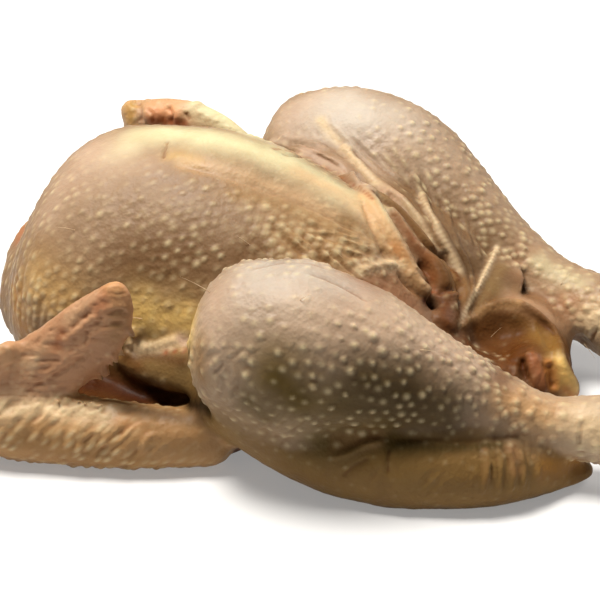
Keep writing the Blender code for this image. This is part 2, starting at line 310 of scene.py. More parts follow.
# Ridges raised on the skin, and creases where the height is negative: pixels, width and height.
RIDGE_SPACING = 0.3
RIDGE_REACH = 2.6
RIDGE_ENDS = 7
RIDGES = (
    (((126, 343), (134, 345), (146, 347), (160, 345), (171, 341), (184, 340)), 2.0, 1.1),
    (((399, 262), (388, 264), (378, 266), (369, 268), (358, 270)), 1.8, 1.1),
    (((168, 152), (230, 160), (300, 180), (350, 206)), 7.5, 0.8),
    (((350, 131), (372, 153), (394, 175), (408, 186)), 1.0, 0.8),
    (((330, 122), (350, 142), (372, 166), (394, 184), (408, 195)), 0.9, 0.9),
    (((368, 140), (385, 158), (400, 170)), 1.0, 0.6),
    (((414, 190), (422, 208), (430, 226), (440, 246)), 0.9, 0.7),
    (((438, 187), (447, 208), (451, 226)), 1.0, 0.9),
    (((425, 176), (434, 196), (441, 216)), 0.9, 0.7),
    (((450, 225), (458, 245), (467, 262), (472, 280), (470, 300)), 0.9, 1.2),
    (((400, 152), (412, 172), (421, 186)), 0.9, 0.7),
    (((460, 205), (466, 226), (472, 246)), 0.9, 0.7),
    (((470, 225), (477, 246), (480, 262)), 0.9, 0.5),
    (((361, 200), (370, 222), (377, 239), (386, 257), (394, 262)), 1.4, -1.2),
    (((397, 272), (404, 281), (414, 291), (424, 298)), 1.4, -1.3),
    (
        (
            (372, 191), (387, 202), (401, 211), (414, 225),
            (425, 240), (435, 251), (446, 260), (455, 275),
            (460, 287), (461, 302), (460, 316),
        ),
        1.6, -2.0,
    ),
    (((415, 192), (422, 209), (430, 222), (437, 239), (445, 252), (452, 267)), 1.2, -1.2),
    (((417, 262), (425, 268), (430, 278), (432, 292)), 1.6, -2.4),
    (((436, 294), (446, 291), (456, 289)), 1.3, -1.1),
    (((272, 149), (290, 155), (315, 163), (340, 175), (358, 189), (372, 199)), 1.4, -1.3),
    (((281, 141), (300, 147), (322, 157), (344, 170), (366, 187)), 0.8, -0.9),
    (((382, 247), (392, 258), (400, 263)), 1.4, -0.8),
    (((168, 139), (165, 150), (163, 160)), 0.8, -1.0),
    (((165, 163), (200, 170), (240, 181), (300, 204), (350, 229), (376, 247)), 1.8, -0.7),
    (((250, 270), (275, 263), (300, 262), (330, 270)), 1.2, -1.0),
    (((303, 272), (325, 278), (345, 287), (370, 303)), 1.0, -1.0),
    (((485, 447), (487, 470), (482, 495)), 1.2, 1.0),
    (((497, 446), (501, 470), (497, 494)), 1.1, 0.9),
    (((508, 446), (513, 468), (510, 492)), 1.1, 1.0),
    (((519, 450), (524, 468), (521, 488)), 1.1, 0.8),
    (((532, 455), (538, 468), (536, 480)), 1.1, 0.6),
    (((390, 446), (388, 460), (389, 476)), 1.0, -0.9),
    (((330, 458), (350, 452), (368, 444), (388, 442)), 1.5, 1.3),
    (((340, 478), (355, 466), (372, 458)), 1.1, -0.8),
    (((503, 304), (525, 312), (546, 325), (560, 338)), 1.3, -1.3),
    (((521, 357), (523, 368), (527, 381)), 1.6, -1.8),
    (((549, 362), (553, 378), (554, 390)), 2.0, -2.1),
    (((507, 344), (514, 354), (517, 368), (515, 382)), 1.2, 0.9),
    (((495, 350), (503, 362), (507, 376)), 1.2, 0.7),
    (((536, 320), (545, 335), (549, 350)), 1.8, -0.8),
    (((392, 440), (420, 439), (460, 441), (500, 438), (530, 432)), 1.8, -0.9),
    (((60, 345), (80, 328), (100, 312)), 1.4, 0.8),
    (((40, 380), (62, 362), (90, 342)), 1.3, 0.7),
    (((88, 330), (84, 346)), 1.0, -1.0),
    (((20, 395), (60, 372), (92, 350)), 1.0, -0.7),
    (((70, 330), (92, 310)), 1.0, -0.8),
    (((100, 312), (118, 306), (128, 308)), 0.9, 0.6),
    (((102, 320), (118, 316), (127, 318)), 0.9, 0.6),
    (((98, 332), (114, 328), (125, 331)), 0.9, 0.6),
    (((139, 101), (141, 112), (140, 123)), 1.2, -1.0),
    (((147, 108), (153, 115), (154, 123)), 0.8, -0.8),
    (((168, 106), (172, 115), (171, 123)), 0.9, -1.0),
    (((185, 112), (190, 121)), 0.8, -1.0),
    (((599, 327), (592, 336), (588, 343)), 1.3, -1.5),
    (((583, 420), (580, 440), (583, 455)), 1.2, -0.8),
)

# The skin's general unevenness: height, size and seed.
UNEVENNESS = ((0.35, 13, 7), (0.16, 4.5, 8), (0.07, 2.2, 9))

# Hollows pressed into the form: pixel, radius and depth.
HOLLOWS = (
    ((433, 302), 2.4, 7.0),
    ((162, 400), 4.0, 5.0),
    ((182, 402), 4.0, 6.0),
    ((202, 408), 3.5, 6.0),
    ((480, 336), 5.0, 5.0),
    ((500, 324), 7.0, 8.0),
    ((521, 324), 6.0, 5.5),
    ((500, 345), 8.0, 4.0),
    ((578, 345), 7.0, 4.0),
    ((135, 103), 1.6, 1.6),
)


# The view


def view_axes():
    """The camera's right, up and forward directions."""
    cos_a, sin_a = math.cos(VIEW_TURN), math.sin(VIEW_TURN)
    cos_e, sin_e = math.cos(VIEW_TILT), math.sin(VIEW_TILT)
    right = np.array((cos_a, sin_a, 0.0))
    up = np.array((-sin_a * sin_e, cos_a * sin_e, cos_e))
    forward = np.array((-sin_a * cos_e, cos_a * cos_e, -sin_e))
    return right, up, forward


RIGHT, UP, FORWARD = view_axes()
EYE = VIEW_TARGET - FORWARD * VIEW_DISTANCE


def pixel_ray(x, y):
    """The direction from the camera through a pixel of the photo."""
    ray = FORWARD + RIGHT * (x - PHOTO_WIDTH / 2) / FOCAL_PIXELS
    ray = ray - UP * (y - PHOTO_HEIGHT / 2) / FOCAL_PIXELS
    return ray / np.linalg.norm(ray)


# Noise


def lattice_value(i, j, k, seed):
    """A fixed random number from 0 to 1 for each whole-numbered place."""
    mixed = i.astype(np.uint32) * np.uint32(374761393) + j.astype(np.uint32) * np.uint32(668265263)
    mixed = mixed + k.astype(np.uint32) * np.uint32(2246822519) + np.uint32(seed * 40503 + 977)
    mixed = (mixed ^ (mixed >> np.uint32(13))) * np.uint32(1274126177)
    mixed = mixed ^ (mixed >> np.uint32(16))
    return mixed.astype(np.float64) / 4294967295.0


def noise(points, size, seed):
    """Smooth noise from -1 to 1, its features about size across; size may be one for each axis."""
    scaled = points / np.asarray(size) + 1000.0
    low = np.floor(scaled).astype(np.int64)
    part = scaled - low
    part = part * part * (3 - 2 * part)
    total = np.zeros(len(points))
    for dx in (0, 1):
        for dy in (0, 1):
            for dz in (0, 1):
                step = np.array((dx, dy, dz))
                weight = np.abs(1 - step - part)
                weight = weight[:, 0] * weight[:, 1] * weight[:, 2]
                total += weight * lattice_value(*(low + step).T, seed)
    return total * 2 - 1


# Shells


def through(rows, steps):
    """Rows of a table, with steps - 1 smooth rows put in between each pair (a Catmull-Rom curve)."""
    last = len(rows) - 1
    dense = []
    for i in range(last):
        before, a = rows[max(i - 1, 0)], rows[i]
        b, after = rows[i + 1], rows[min(i + 2, last)]
        for k in range(steps):
            t = k / steps
            row = []
            for p, q, r, s in zip(before, a, b, after):
                square = 2 * p - 5 * q + 4 * r - s
                cube = 3 * q - p - 3 * r + s
                row.append(0.5 * (2 * q + (r - p) * t + square * t * t + cube * t ** 3))
            dense.append(row)
    dense.append(list(rows[last]))
    return dense


def skin_rings(shape, rings, closed_loop=False):
    """Joins rings of points into a closed shell: side faces, and a flat cap on each end."""
    loops = [[shape.verts.new(Vector(p)) for p in ring] for ring in rings]
    count = len(loops[0])
    pairs = list(zip(loops, loops[1:]))
    if closed_loop:
        pairs.append((loops[-1], loops[0]))
    for low, high in pairs:
        for i in range(count):
            j = (i + 1) % count
            shape.faces.new((low[i], low[j], high[j], high[i]))
    if not closed_loop:
        shape.faces.new(loops[0][::-1])
        shape.faces.new(loops[-1])


def dome(ring, middle, out, reach):
    """Rings that close off an end: the ring shrinks towards middle as it moves reach along out."""
    made = []
    for k in range(1, CAP_RINGS + 1):
        angle = DOME_SWEEP * k / CAP_RINGS
        centre = middle + out * reach * math.sin(angle)
        made.append([centre + (p - middle) * math.cos(angle) for p in ring])
    return made


def add_limb(shape, rows, across=(0, 1, 0)):
    """A tapered limb along a smooth centre line, oval in section, with domed ends."""
    rows = through(rows, RINGS_BETWEEN)
    centres = [Vector(row[:3]) for row in rows]
    rings = []
    for i, row in enumerate(rows):
        along = (centres[min(i + 1, len(rows) - 1)] - centres[max(i - 1, 0)]).normalized()
        side = Vector(across)
        side = (side - side.dot(along) * along).normalized()
        top = along.cross(side)
        ring = []
        for k in range(LIMB_SIDES):
            angle = 2 * math.pi * k / LIMB_SIDES
            ring.append(centres[i] + side * row[3] * math.cos(angle) + top * row[4] * math.sin(angle))
        rings.append(ring)
    head_out = (centres[0] - centres[1]).normalized()
    tail_out = (centres[-1] - centres[-2]).normalized()
    head = dome(rings[0], centres[0], head_out, DOME_SHARE * min(rows[0][3:5]))
    tail = dome(rings[-1], centres[-1], tail_out, DOME_SHARE * min(rows[-1][3:5]))
    skin_rings(shape, head[::-1] + rings + tail)


def trunk_ring(x, half_width, keel, widest, low, point):
    """One section of the trunk: a pointed arch above its widest line and a flattened oval below it."""
    ring = []
    for k in range(TRUNK_SIDES):
        angle = 2 * math.pi * k / TRUNK_SIDES
        c, s = math.cos(angle), math.sin(angle)
        if s >= 0:
            y = half_width * math.copysign(abs(c) ** (2 / point), c)
            z = widest + (keel - widest) * s
        else:
            y = half_width * math.copysign(abs(c) ** UNDERSIDE_POWER, c)
            z = widest + (widest - low) * s
        ring.append(Vector((x, y, z)))
    return ring


def add_trunk(shape):
    """The trunk, with a blunt dome on its neck end and on its tail end."""
    rings = [trunk_ring(*row) for row in through(TRUNK, RINGS_BETWEEN)]
    middles = [sum(rings[i], Vector()) / TRUNK_SIDES for i in (0, -1)]
    neck = dome(rings[0], middles[0], Vector((-1, 0, 0)), TRUNK_NECK_DOME)
    tail = dome(rings[-1], middles[1], Vector((1, 0, 0)), TRUNK_TAIL_DOME)
    skin_rings(shape, neck[::-1] + rings + tail)


def add_collar(shape):
    """The ring of skin round the neck opening, leaning back at its top."""
    middle = Vector(COLLAR_CENTRE)
    rings = []
    for i in range(COLLAR_POINTS):
        turn = 2 * math.pi * i / COLLAR_POINTS
        out = Vector((0, math.cos(turn), math.sin(turn)))
        centre = middle + Vector((
            COLLAR_LEAN * COLLAR_HALF_HEIGHT * math.sin(turn),
            COLLAR_HALF_WIDTH * math.cos(turn),
            COLLAR_HALF_HEIGHT * math.sin(turn),
        ))
        ring = []
        for k in range(LIMB_SIDES):
            angle = 2 * math.pi * k / LIMB_SIDES
            forward = Vector((math.sin(angle), 0, 0))
            ring.append(centre + (out * math.cos(angle) + forward) * COLLAR_THICKNESS)
        rings.append(ring)
    skin_rings(shape, rings, closed_loop=True)


def add_ribbon(shape, points, normals, wide, thick):
    """A fold laid along points: an oval ribbon whose flat side follows the skin's normals."""
    count = len(points)
    rings = []
    for i in range(count):
        along = points[min(i + 1, count - 1)] - points[max(i - 1, 0)]
        along /= np.linalg.norm(along)
        side = np.cross(along, normals[i])
        side /= np.linalg.norm(side)
        top = np.cross(side, along)
        ring = []
        for k in range(RIBBON_SIDES):
            angle = 2 * math.pi * k / RIBBON_SIDES
            sideways = side * wide[i] * math.cos(angle)
            ring.append(Vector(points[i] + sideways + top * thick[i] * math.sin(angle)))
        rings.append(ring)
    ends = []
    for i, j in ((0, 1), (count - 1, count - 2)):
        out = Vector(points[i] - points[j]).normalized()
        ends.append(dome(rings[i], Vector(points[i]), out, thick[i]))
    skin_rings(shape, ends[0][::-1] + rings + ends[1])


def add_lump(shape, centre, radii, turn):
    """An egg-shaped lump, turned about the vertical."""
    made = bmesh.ops.create_uvsphere(shape, u_segments=12, v_segments=8, radius=1.0)
    cos_t, sin_t = math.cos(turn), math.sin(turn)
    for vert in made["verts"]:
        x, y, z = (c * r for c, r in zip(vert.co, radii))
        turned = (x * cos_t - y * sin_t, x * sin_t + y * cos_t, z)
        vert.co = Vector([c + t for c, t in zip(centre, turned)])


def add_spurs(shape, form, pixels, spacing, length, radius, lean, seed):
    """A row of little fingers of skin, uneven in size, that lean over from the skin."""
    rng = np.random.default_rng(seed)
    points, normals = form.path(pixels, spacing)
    for foot, normal in zip(points, normals):
        size = rng.uniform(0.6, 1.25)
        way = normal * 0.6 + np.array(lean) + rng.normal(0, 0.22, 3)
        foot = foot + rng.normal(0, 0.5, 3)
        stem = foot + way * SPUR_STEM[:, None] * length * size
        width = radius * size * SPUR_TAPER
        add_ribbon(shape, stem, np.tile(normal, (3, 1)), width, width)


def add_fin(shape, form, start, end, wide, high):
    """A taut fold: a thin straight fin between two places on the skin."""
    first, first_normal = form.at(*start)
    last, last_normal = form.at(*end)
    share = np.linspace(0, 1, FIN_STEPS)[:, None]
    line = first + (last - first) * share
    facing = first_normal + last_normal - FORWARD
    facing /= np.linalg.norm(facing)
    sunk = []
    for i in range(FIN_STEPS):
        pixel = [a + (b - a) * share[i, 0] for a, b in zip(start, end)]
        sunk.append(max((form.at(*pixel)[0] - line[i]) @ facing, 0.0))
    line += facing * (np.sin(share * math.pi) * max(sunk) * 0.5 / max(wide, 1.0))
    normals = np.tile(facing, (FIN_STEPS, 1))
    taper = 0.6 + 0.4 * np.sin(share[:, 0] * math.pi)
    add_ribbon(shape, line, normals, wide * taper, high * taper)


def add_object(name, data):
    """A new object, linked to the scene."""
    thing = bpy.data.objects.new(name, data)
    bpy.context.collection.objects.link(thing)
    return thing


def fused(shape, voxel):
    """The overlapping shells as one closed surface of even squares: its points and its faces."""
    bmesh.ops.recalc_face_normals(shape, faces=shape.faces)
    mesh = bpy.data.meshes.new("shells")
    shape.to_mesh(mesh)
    shape.free()
    holder = add_object("shells", mesh)
    fuse = holder.modifiers.new("fuse", "REMESH")
    fuse.mode = "VOXEL"
    fuse.voxel_size = voxel
    evaluated = holder.evaluated_get(bpy.context.evaluated_depsgraph_get())
    made = bpy.data.meshes.new_from_object(evaluated)
    points = np.empty(len(made.vertices) * 3)
    made.vertices.foreach_get("co", points)
    faces = np.empty(len(made.loops), dtype=np.int32)
    made.loops.foreach_get("vertex_index", faces)
    bpy.data.objects.remove(holder)
    bpy.data.meshes.remove(mesh)
    bpy.data.meshes.remove(made)
    return points.reshape(-1, 3), faces.reshape(-1, 4).astype(np.int64)


class Skin:
    """A surface of four-sided faces that can be smoothed, pushed along its normals and marked."""

    def __init__(self, points, faces):
        self.points = points
        self.faces = faces
        self.count = len(points)
        ends = np.concatenate([faces[:, pair] for pair in ((0, 1), (1, 2), (2, 3), (3, 0))])
        ends.sort(axis=1)
        keys = np.unique(ends[:, 0] * self.count + ends[:, 1])
        self.a = keys // self.count
        self.b = keys % self.count
        self.degree = np.bincount(self.a, minlength=self.count)
        self.degree += np.bincount(self.b, minlength=self.count)
        self.measure()

    def around(self, values):
        """Each point's mean of its neighbours' values."""
        total = np.bincount(self.a, values[self.b], self.count)
        total += np.bincount(self.b, values[self.a], self.count)
        return total / self.degree

    def smooth(self, steps):
        """Moves each point halfway to the middle of its neighbours, steps times."""
        for _ in range(steps):
            for axis in range(3):
                column = self.points[:, axis]
                self.points[:, axis] = column + (self.around(column) - column) * 0.5
        self.measure()

    def blur(self, values, steps):
        """The values, evened out over the surface."""
        for _ in range(steps):
            values = values + (self.around(values) - values) * 0.5
        return values

    def measure(self):
        """Works out the normals."""
        corners = self.points[self.faces]
        across = np.cross(corners[:, 2] - corners[:, 0], corners[:, 3] - corners[:, 1])
        self.normals = np.zeros((self.count, 3))
        for k in range(4):
            for axis in range(3):
                self.normals[:, axis] += np.bincount(self.faces[:, k], across[:, axis], self.count)
        self.normals /= np.maximum(np.linalg.norm(self.normals, axis=1), 1e-9)[:, None]

    def plant(self):
        """Makes the tree that rays are cast against."""
        self.tree = BVHTree.FromPolygons(self.points.tolist(), self.faces.tolist())

    def at(self, x, y):
        """The point and the normal of the skin that a pixel of the photo shows."""
        ray = pixel_ray(x, y)
        hit, normal, _, _ = self.tree.ray_cast(Vector(EYE), Vector(ray))
        if hit is None:
            hit, normal, _, _ = self.tree.find_nearest(Vector(EYE + ray * VIEW_DISTANCE))
        return np.array(hit), np.array(normal)

    def path(self, pixels, spacing=0.8):
        """Points along the skin through the given pixels, evenly spaced, and the normals there."""
        rows = [list(self.at(*pixel)[0]) for pixel in pixels]
        dense = np.array(through(rows, 24))
        steps = np.concatenate([[0], np.cumsum(np.linalg.norm(np.diff(dense, axis=0), axis=1))])
        wanted = np.linspace(0, steps[-1], max(int(steps[-1] / spacing), 3))
        even = np.stack([np.interp(wanted, steps, dense[:, axis]) for axis in range(3)], axis=1)
        points, normals = [], []
        for p in even:
            hit, normal, _, _ = self.tree.find_nearest(Vector(p))
            points.append(hit)
            normals.append(normal)
        normals = np.array(normals)
        for _ in range(4):
            inner = (normals[:-2] + normals[1:-1] + normals[2:]) / 3
            normals[1:-1] = inner
        normals /= np.linalg.norm(normals, axis=1)[:, None]
        return np.array(points), normals

    def near(self, path, reach):
        """The points within reach of a path: numbers, distances, and places along it (0 to 1)."""
        low, high = path.min(axis=0) - reach, path.max(axis=0) + reach
        ids = np.nonzero(np.all((self.points > low) & (self.points < high), axis=1))[0]
        best = np.full(len(ids), np.inf)
        place = np.zeros(len(ids))
        for j, p in enumerate(path):
            away = np.linalg.norm(self.points[ids] - p, axis=1)
            closer = away < best
            best[closer] = away[closer]
            place[closer] = j / max(len(path) - 1, 1)
        kept = best < reach
        return ids[kept], best[kept], place[kept]


def build_form():
    """The bare form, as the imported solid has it, fused and smoothed."""
    shape = bmesh.new()
    add_trunk(shape)
    add_collar(shape)
    for rows in (
        NEAR_DRUMSTICK, FAR_DRUMSTICK, NEAR_THIGH, FAR_THIGH, NEAR_UPPER_WING, NEAR_FOREARM,
        FAR_UPPER_WING, FAR_FOREARM, FAR_HAND, NEAR_THUMB, NEAR_WING_WEB, FAR_WING_WEB, RUMP,
        TAIL_LOBE, BACK_SKIN_CORNER, FAR_ROLL, BELLY_END, FAR_WEB, WEB_SHEET, NEAR_WEB, FLANK_FOLD,
        NEAR_SIDE, NECK_STUMP, *KNUCKLES,
    ):
        add_limb(shape, rows)
    add_limb(shape, NEAR_HAND, across=HAND_ACROSS)
    add_limb(shape, FLANK_SHEET, across=SHEET_ACROSS)
    form = Skin(*fused(shape, FORM_VOXEL))
    form.smooth(FORM_SMOOTHING)
    form.plant()
    return form


def lay_folds(form):
    """The form with its folds laid on it, fused again and smoothed lightly."""
    shape = bmesh.new()
    verts = [shape.verts.new(p) for p in form.points.tolist()]
    for face in form.faces.tolist():
        shape.faces.new([verts[i] for i in face])
    for pixels, wide, thick, end_wide, end_thick, stand in LAID_FOLDS:
        points, normals = form.path(pixels)
        share = np.linspace(0, 1, len(points))
        widths = wide + (end_wide - wide) * share
        thicks = thick + (end_thick - thick) * share
        add_ribbon(shape, points + normals * stand, normals, widths, thicks)
    for centre, radii, turn in LUMPS:
        add_lump(shape, centre, radii, turn)
    for number, row in enumerate(SPUR_ROWS):
        add_spurs(shape, form, *row, number)
    for row in TAUT_FOLDS:
        add_fin(shape, form, *row)
    skin = Skin(*fused(shape, SKIN_VOXEL))
    skin.smooth(SKIN_SMOOTHING)
    skin.plant()
    return skin


# Regions of the bird


def nearness(points, rows):
    """How far each point is from a limb's centre line, in half sizes of the limb there."""
    best = np.full(len(points), np.inf)
    for row in through(rows, 3):
        away = np.linalg.norm(points - np.array(row[:3]), axis=1) / (0.5 * (row[3] + row[4]))
        np.minimum(best, away, out=best)
    return best


def trunk_nearness(points):
    """The same for the trunk, whose sections are taller and wider than a limb's."""
    table = np.array(TRUNK, dtype=float)
    x = points[:, 0]
    half_width = np.interp(x, table[:, 0], table[:, 1])
    keel = np.interp(x, table[:, 0], table[:, 2])
    low = np.interp(x, table[:, 0], table[:, 4])
    beyond = np.maximum(table[0, 0] - x, 0) + np.maximum(x - table[-1, 0], 0)
    across = points[:, 1] / half_width
    height = (points[:, 2] - (keel + low) / 2) / ((keel - low) / 2)
    return np.hypot(across, height) + beyond / 20


REGIONS = (
    ("near_drumstick", (NEAR_DRUMSTICK,)),
    ("far_drumstick", (FAR_DRUMSTICK,)),
    ("near_thigh", (NEAR_THIGH, BACK_SKIN_CORNER)),
    ("far_thigh", (FAR_THIGH,)),
    ("near_forearm", (NEAR_FOREARM,)),
    ("near_hand", (NEAR_HAND, NEAR_THUMB)),
    ("far_wing", (FAR_UPPER_WING, FAR_FOREARM, FAR_HAND)),
    ("near_upper_wing", (NEAR_UPPER_WING, NEAR_WING_WEB)),
    ("rump", (RUMP, TAIL_LOBE)),
    ("web", (FAR_WEB, WEB_SHEET, FAR_ROLL, BELLY_END)),
    ("neck", (NECK_STUMP,)),
)


def split_regions(skin):
    """Which region each point belongs to, as a share from 0 to 1 for each region's name."""
    names = ["trunk"] + [name for name, _ in REGIONS]
    away = [trunk_nearness(skin.points)]
    for _, limbs in REGIONS:
        away.append(np.min([nearness(skin.points, rows) for rows in limbs], axis=0))
    label = np.argmin(away, axis=0)
    return {name: skin.blur((label == i).astype(float), REGION_BLUR) for i, name in enumerate(names)}


# Strokes: soft patches laid over the skin at pixels of the photo


def stroke_cover(skin, pixels, radius, seed=1):
    """The points under a soft patch or line, and how much of it lies on each, from 0 to 1."""
    if len(pixels) == 1:
        centre, normal = skin.at(*pixels[0])
        path, facing = centre[None, :], normal
    else:
        path, normals = skin.path(pixels, 2.0)
        facing = normals.mean(axis=0)
    ids, away, _ = skin.near(path, radius * STROKE_REACH)
    away = away * (1 + STROKE_UNEVEN * noise(skin.points[ids], radius * 0.7 + 2, seed))
    agree = np.clip(0.45 + skin.normals[ids] @ facing, 0, 1)
    return ids, np.exp(-(away / radius) ** 2) * agree


def wash(skin, values, strokes):
    """Lays strokes over the values in turn; each is pixels, radius, value and strength."""
    for number, (pixels, radius, value, strength) in enumerate(strokes):
        ids, cover = stroke_cover(skin, pixels, radius, number)
        cover = cover * strength
        if values.ndim == 2:
            cover = cover[:, None]
        values[ids] += (value - values[ids]) * cover
    return values


# Follicles


def quincunx_miss(a, b, gap, row_gap):
    """How far each place is from the nearest stand of a planting in offset rows."""
    best = np.full(len(a), np.inf)
    row = np.floor(b / row_gap)
    for step in (0, 1):
        offset = np.where((row + step) % 2 == 0, 0.0, 0.5)
        stand = (np.round(a / gap - offset) + offset) * gap
        best = np.minimum(best, np.hypot(a - stand, b - (row + step) * row_gap))
    return best


def planted(skin, inside, a, b, gap, row_gap):
    """Points of the skin nearest to the stands of a planting, no two closer than most of a gap."""
    miss = quincunx_miss(a, b, gap, row_gap)
    choice = np.nonzero(inside & (miss < SKIN_VOXEL * 0.75))[0]
    choice = choice[np.argsort(miss[choice], kind="stable")]
    least = min(gap, row_gap) * LEAST_SHARE
    cells = {}
    kept = []
    for i, p in zip(choice.tolist(), skin.points[choice].tolist()):
        cell = tuple(math.floor(c / least) for c in p)
        clear = True
        for step in itertools.product((-1, 0, 1), repeat=3):
            for q in cells.get(tuple(c + d for c, d in zip(cell, step)), ()):
                if sum((a - b) ** 2 for a, b in zip(p, q)) < least * least:
                    clear = False
        if clear:
            cells.setdefault(cell, []).append(p)
            kept.append(i)
    return np.array(kept, dtype=int)


def limb_axes(rows):
    """A limb's start, its direction, and two directions across it."""
    start, end = np.array(rows[0][:3], dtype=float), np.array(rows[-1][:3], dtype=float)
    along = (end - start) / np.linalg.norm(end - start)
    side = np.cross(along, (0, 0, 1.0))
    side /= np.linalg.norm(side)
    return start, along, side, np.cross(side, along)


def limb_places(skin, rows, round_size):
    """Each point's place along a limb and round it, in millimetres."""
    start, along, side, top = limb_axes(rows)
    from_start = skin.points - start
    return from_start @ along, np.arctan2(from_start @ top, from_start @ side) * round_size


def plant_follicles(skin, region):
    """Every follicle: its place, strength and radius, and the way and how much it is drawn out."""
    rng = np.random.default_rng(FOLLICLE_SEED)
    strength = np.zeros(skin.count)
    for name, value in FOLLICLE_REGIONS.items():
        strength += region[name] * value
    strength = wash(skin, strength, FOLLICLE_STROKES)
    turn = np.arctan2(skin.points[:, 2] - TRUNK_AXIS_HEIGHT, np.abs(skin.points[:, 1]))
    arc = turn * TRUNK_ROUND_SIZE
    cos_r, sin_r = math.cos(ROW_TURN), math.sin(ROW_TURN)
    x = skin.points[:, 0]
    places = {"trunk": (x * cos_r + arc * sin_r, arc * cos_r - x * sin_r)}
    for name, rows, round_size in FOLLICLE_LIMBS:
        places[name] = limb_places(skin, rows, round_size)
    free = np.ones(skin.count, dtype=bool)
    groups = []
    sizes = []
    for name, pixels, patch_radius, gap, size in DENSE_PATCHES:
        cover = wash(skin, np.zeros(skin.count), ((pixels, patch_radius, 1.0, 1.0),))
        inside = free & (cover > PATCH_EDGE) & (region[name] > 0.5)
        groups.append(planted(skin, inside, *places[name], gap, gap * PATCH_ROW_GAP))
        sizes.append(np.full(len(groups[-1]), size))
        free &= ~inside
    for name, place in places.items():
        gap = FOLLICLE_GAPS.get(name, WIDE_GAP)
        inside = free & (region[name] > 0.5)
        groups.append(planted(skin, inside, *place, gap, gap * ROW_GAP))
        sizes.append(np.full(len(groups[-1]), BEAD_SIZES.get(name, 1.0)))
    chosen = np.concatenate(groups)
    patchy = np.clip(0.95 + 0.6 * noise(skin.points[chosen], 17, 31), 0.2, 1.4)
    power = strength[chosen] * patchy * rng.uniform(0.45, 1.35, len(chosen))
    power[rng.random(len(chosen)) < EMPTY_SHARE] *= 0.2
    radius = rng.uniform(0.85, 1.3, len(chosen)) * np.concatenate(sizes)
    jitter = rng.normal(0, 0.7, (len(chosen), 3))
    growth = np.zeros((len(chosen), 3))
    stretch = np.ones(len(chosen))
    for name, (direction, factor) in FOLLICLE_GROWTH.items():
        here = region[name][chosen] > 0.5
        growth[here] = np.array(direction) / np.linalg.norm(direction)
        stretch[here] = factor
    streaky = wash(skin, np.zeros(skin.count), STREAK_STROKES)[chosen] > 0.4
    growth[streaky] = np.array(STREAK_DIRECTION) / np.linalg.norm(STREAK_DIRECTION)
    stretch[streaky] = STREAK_STRETCH
    return skin.points[chosen] + jitter, power, radius, growth, stretch


def raise_follicles(skin, centres, power, radius, growth, stretch, lift, tip):
    """Raises a bead at each follicle, and marks how much of a bead each point is."""
    tree = KDTree(skin.count)
    for i, p in enumerate(skin.points.tolist()):
        tree.insert(p, i)
    tree.balance()
    rows = zip(centres.tolist(), power.tolist(), radius.tolist(), growth, stretch.tolist())
    for centre, strength, size, along, longer in rows:
        if strength < LEAST_STRENGTH:
            continue
        reach = size * BEAD_REACH
        for place, i, away in tree.find_range(centre, reach * longer):
            if longer > 1:
                run = sum((p - c) * a for p, c, a in zip(place, centre, along))
                away = math.sqrt(max(away * away - run * run * (1 - 1 / longer ** 2), 0))
                if away > reach:
                    continue
            bead = (1 - (away / reach) ** 2) ** 2
            lift[i] = max(lift[i], bead * strength * BEAD_HEIGHT)
            tip[i] = max(tip[i], bead ** TIP_SHARPNESS * min(strength * 1.3, 1.0))


# Wrinkles


def wrinkle(skin, lift, pixels, radius, direction, along, across, height, seed):
    """Fine folds that run in a direction, over a soft patch."""
    ids, cover = stroke_cover(skin, pixels, radius, seed)
    run = np.array(direction, dtype=float)
    run /= np.linalg.norm(run)
    side = np.cross(run, (0.3, 0.2, 0.9))
    side /= np.linalg.norm(side)
    top = np.cross(run, side)
    points = skin.points[ids]
    warp = noise(points, 14, seed + 50) * across * 0.7
    local = np.stack([points @ run, points @ side + warp, points @ top], axis=1)
    rough = noise(local, (along, across, across), seed)
    lift[ids] += cover * height * (0.6 - 1.5 * np.abs(rough))


def press(skin, pixel, radius, depth):
    """Presses a hollow into the skin."""
    centre, normal = skin.at(*pixel)
    ids, away, _ = skin.near(centre[None, :], radius * 2.5)
    facing = np.clip(skin.normals[ids] @ normal + 0.6, 0, 1)
    skin.points[ids] -= normal * (depth * facing * np.exp(-(away / radius) ** 2))[:, None]


def sculpt(skin, region):
    """Presses the hollows and raises the relief; returns how much bead and crease each point is."""
    for pixel, radius, depth in HOLLOWS:
        press(skin, pixel, radius, depth)
    skin.measure()
    lift = np.zeros(skin.count)
    tip = np.zeros(skin.count)
    push = np.zeros((skin.count, 3))
    follicles = plant_follicles(skin, region)
    raise_follicles(skin, *follicles, lift, tip)
    for number, (pixels, width, height) in enumerate(RIDGES):
        path, facing = skin.path(pixels, RIDGE_SPACING)
        ids, away, place = skin.near(path, width * RIDGE_REACH)
        ends = np.clip(np.minimum(place, 1 - place) * RIDGE_ENDS, 0, 1)
        uneven = 1 + 0.35 * noise(skin.points[ids], 5, 90 + number)
        step = np.rint(place * (len(path) - 1)).astype(int)
        raised = height * ends * uneven * np.exp(-(away / width) ** 2)
        push[ids] += raised[:, None] * facing[step]
    for number, row in enumerate(WRINKLES):
        wrinkle(skin, lift, *row, 200 + number)
    for height, size, seed in UNEVENNESS:
        lift += height * noise(skin.points, size, seed)
    skin.points += skin.normals * lift[:, None] + push
    skin.points[:, 2] = np.maximum(skin.points[:, 2], 0.0)
    skin.measure()
    hollow = np.zeros(skin.count)
    for axis in range(3):
        column = skin.points[:, axis]
        hollow += (skin.around(column) - column) * skin.normals[:, axis]
    return tip, skin.blur(hollow, 2)


# Colour


def linear(red, green, blue):
    """A screen colour from 0 to 255 as the light it stands for."""
    shares = [c / 255 for c in (red, green, blue)]
    return np.array([s / 12.92 if s < 0.0405 else ((s + 0.055) / 1.055) ** 2.4 for s in shares])


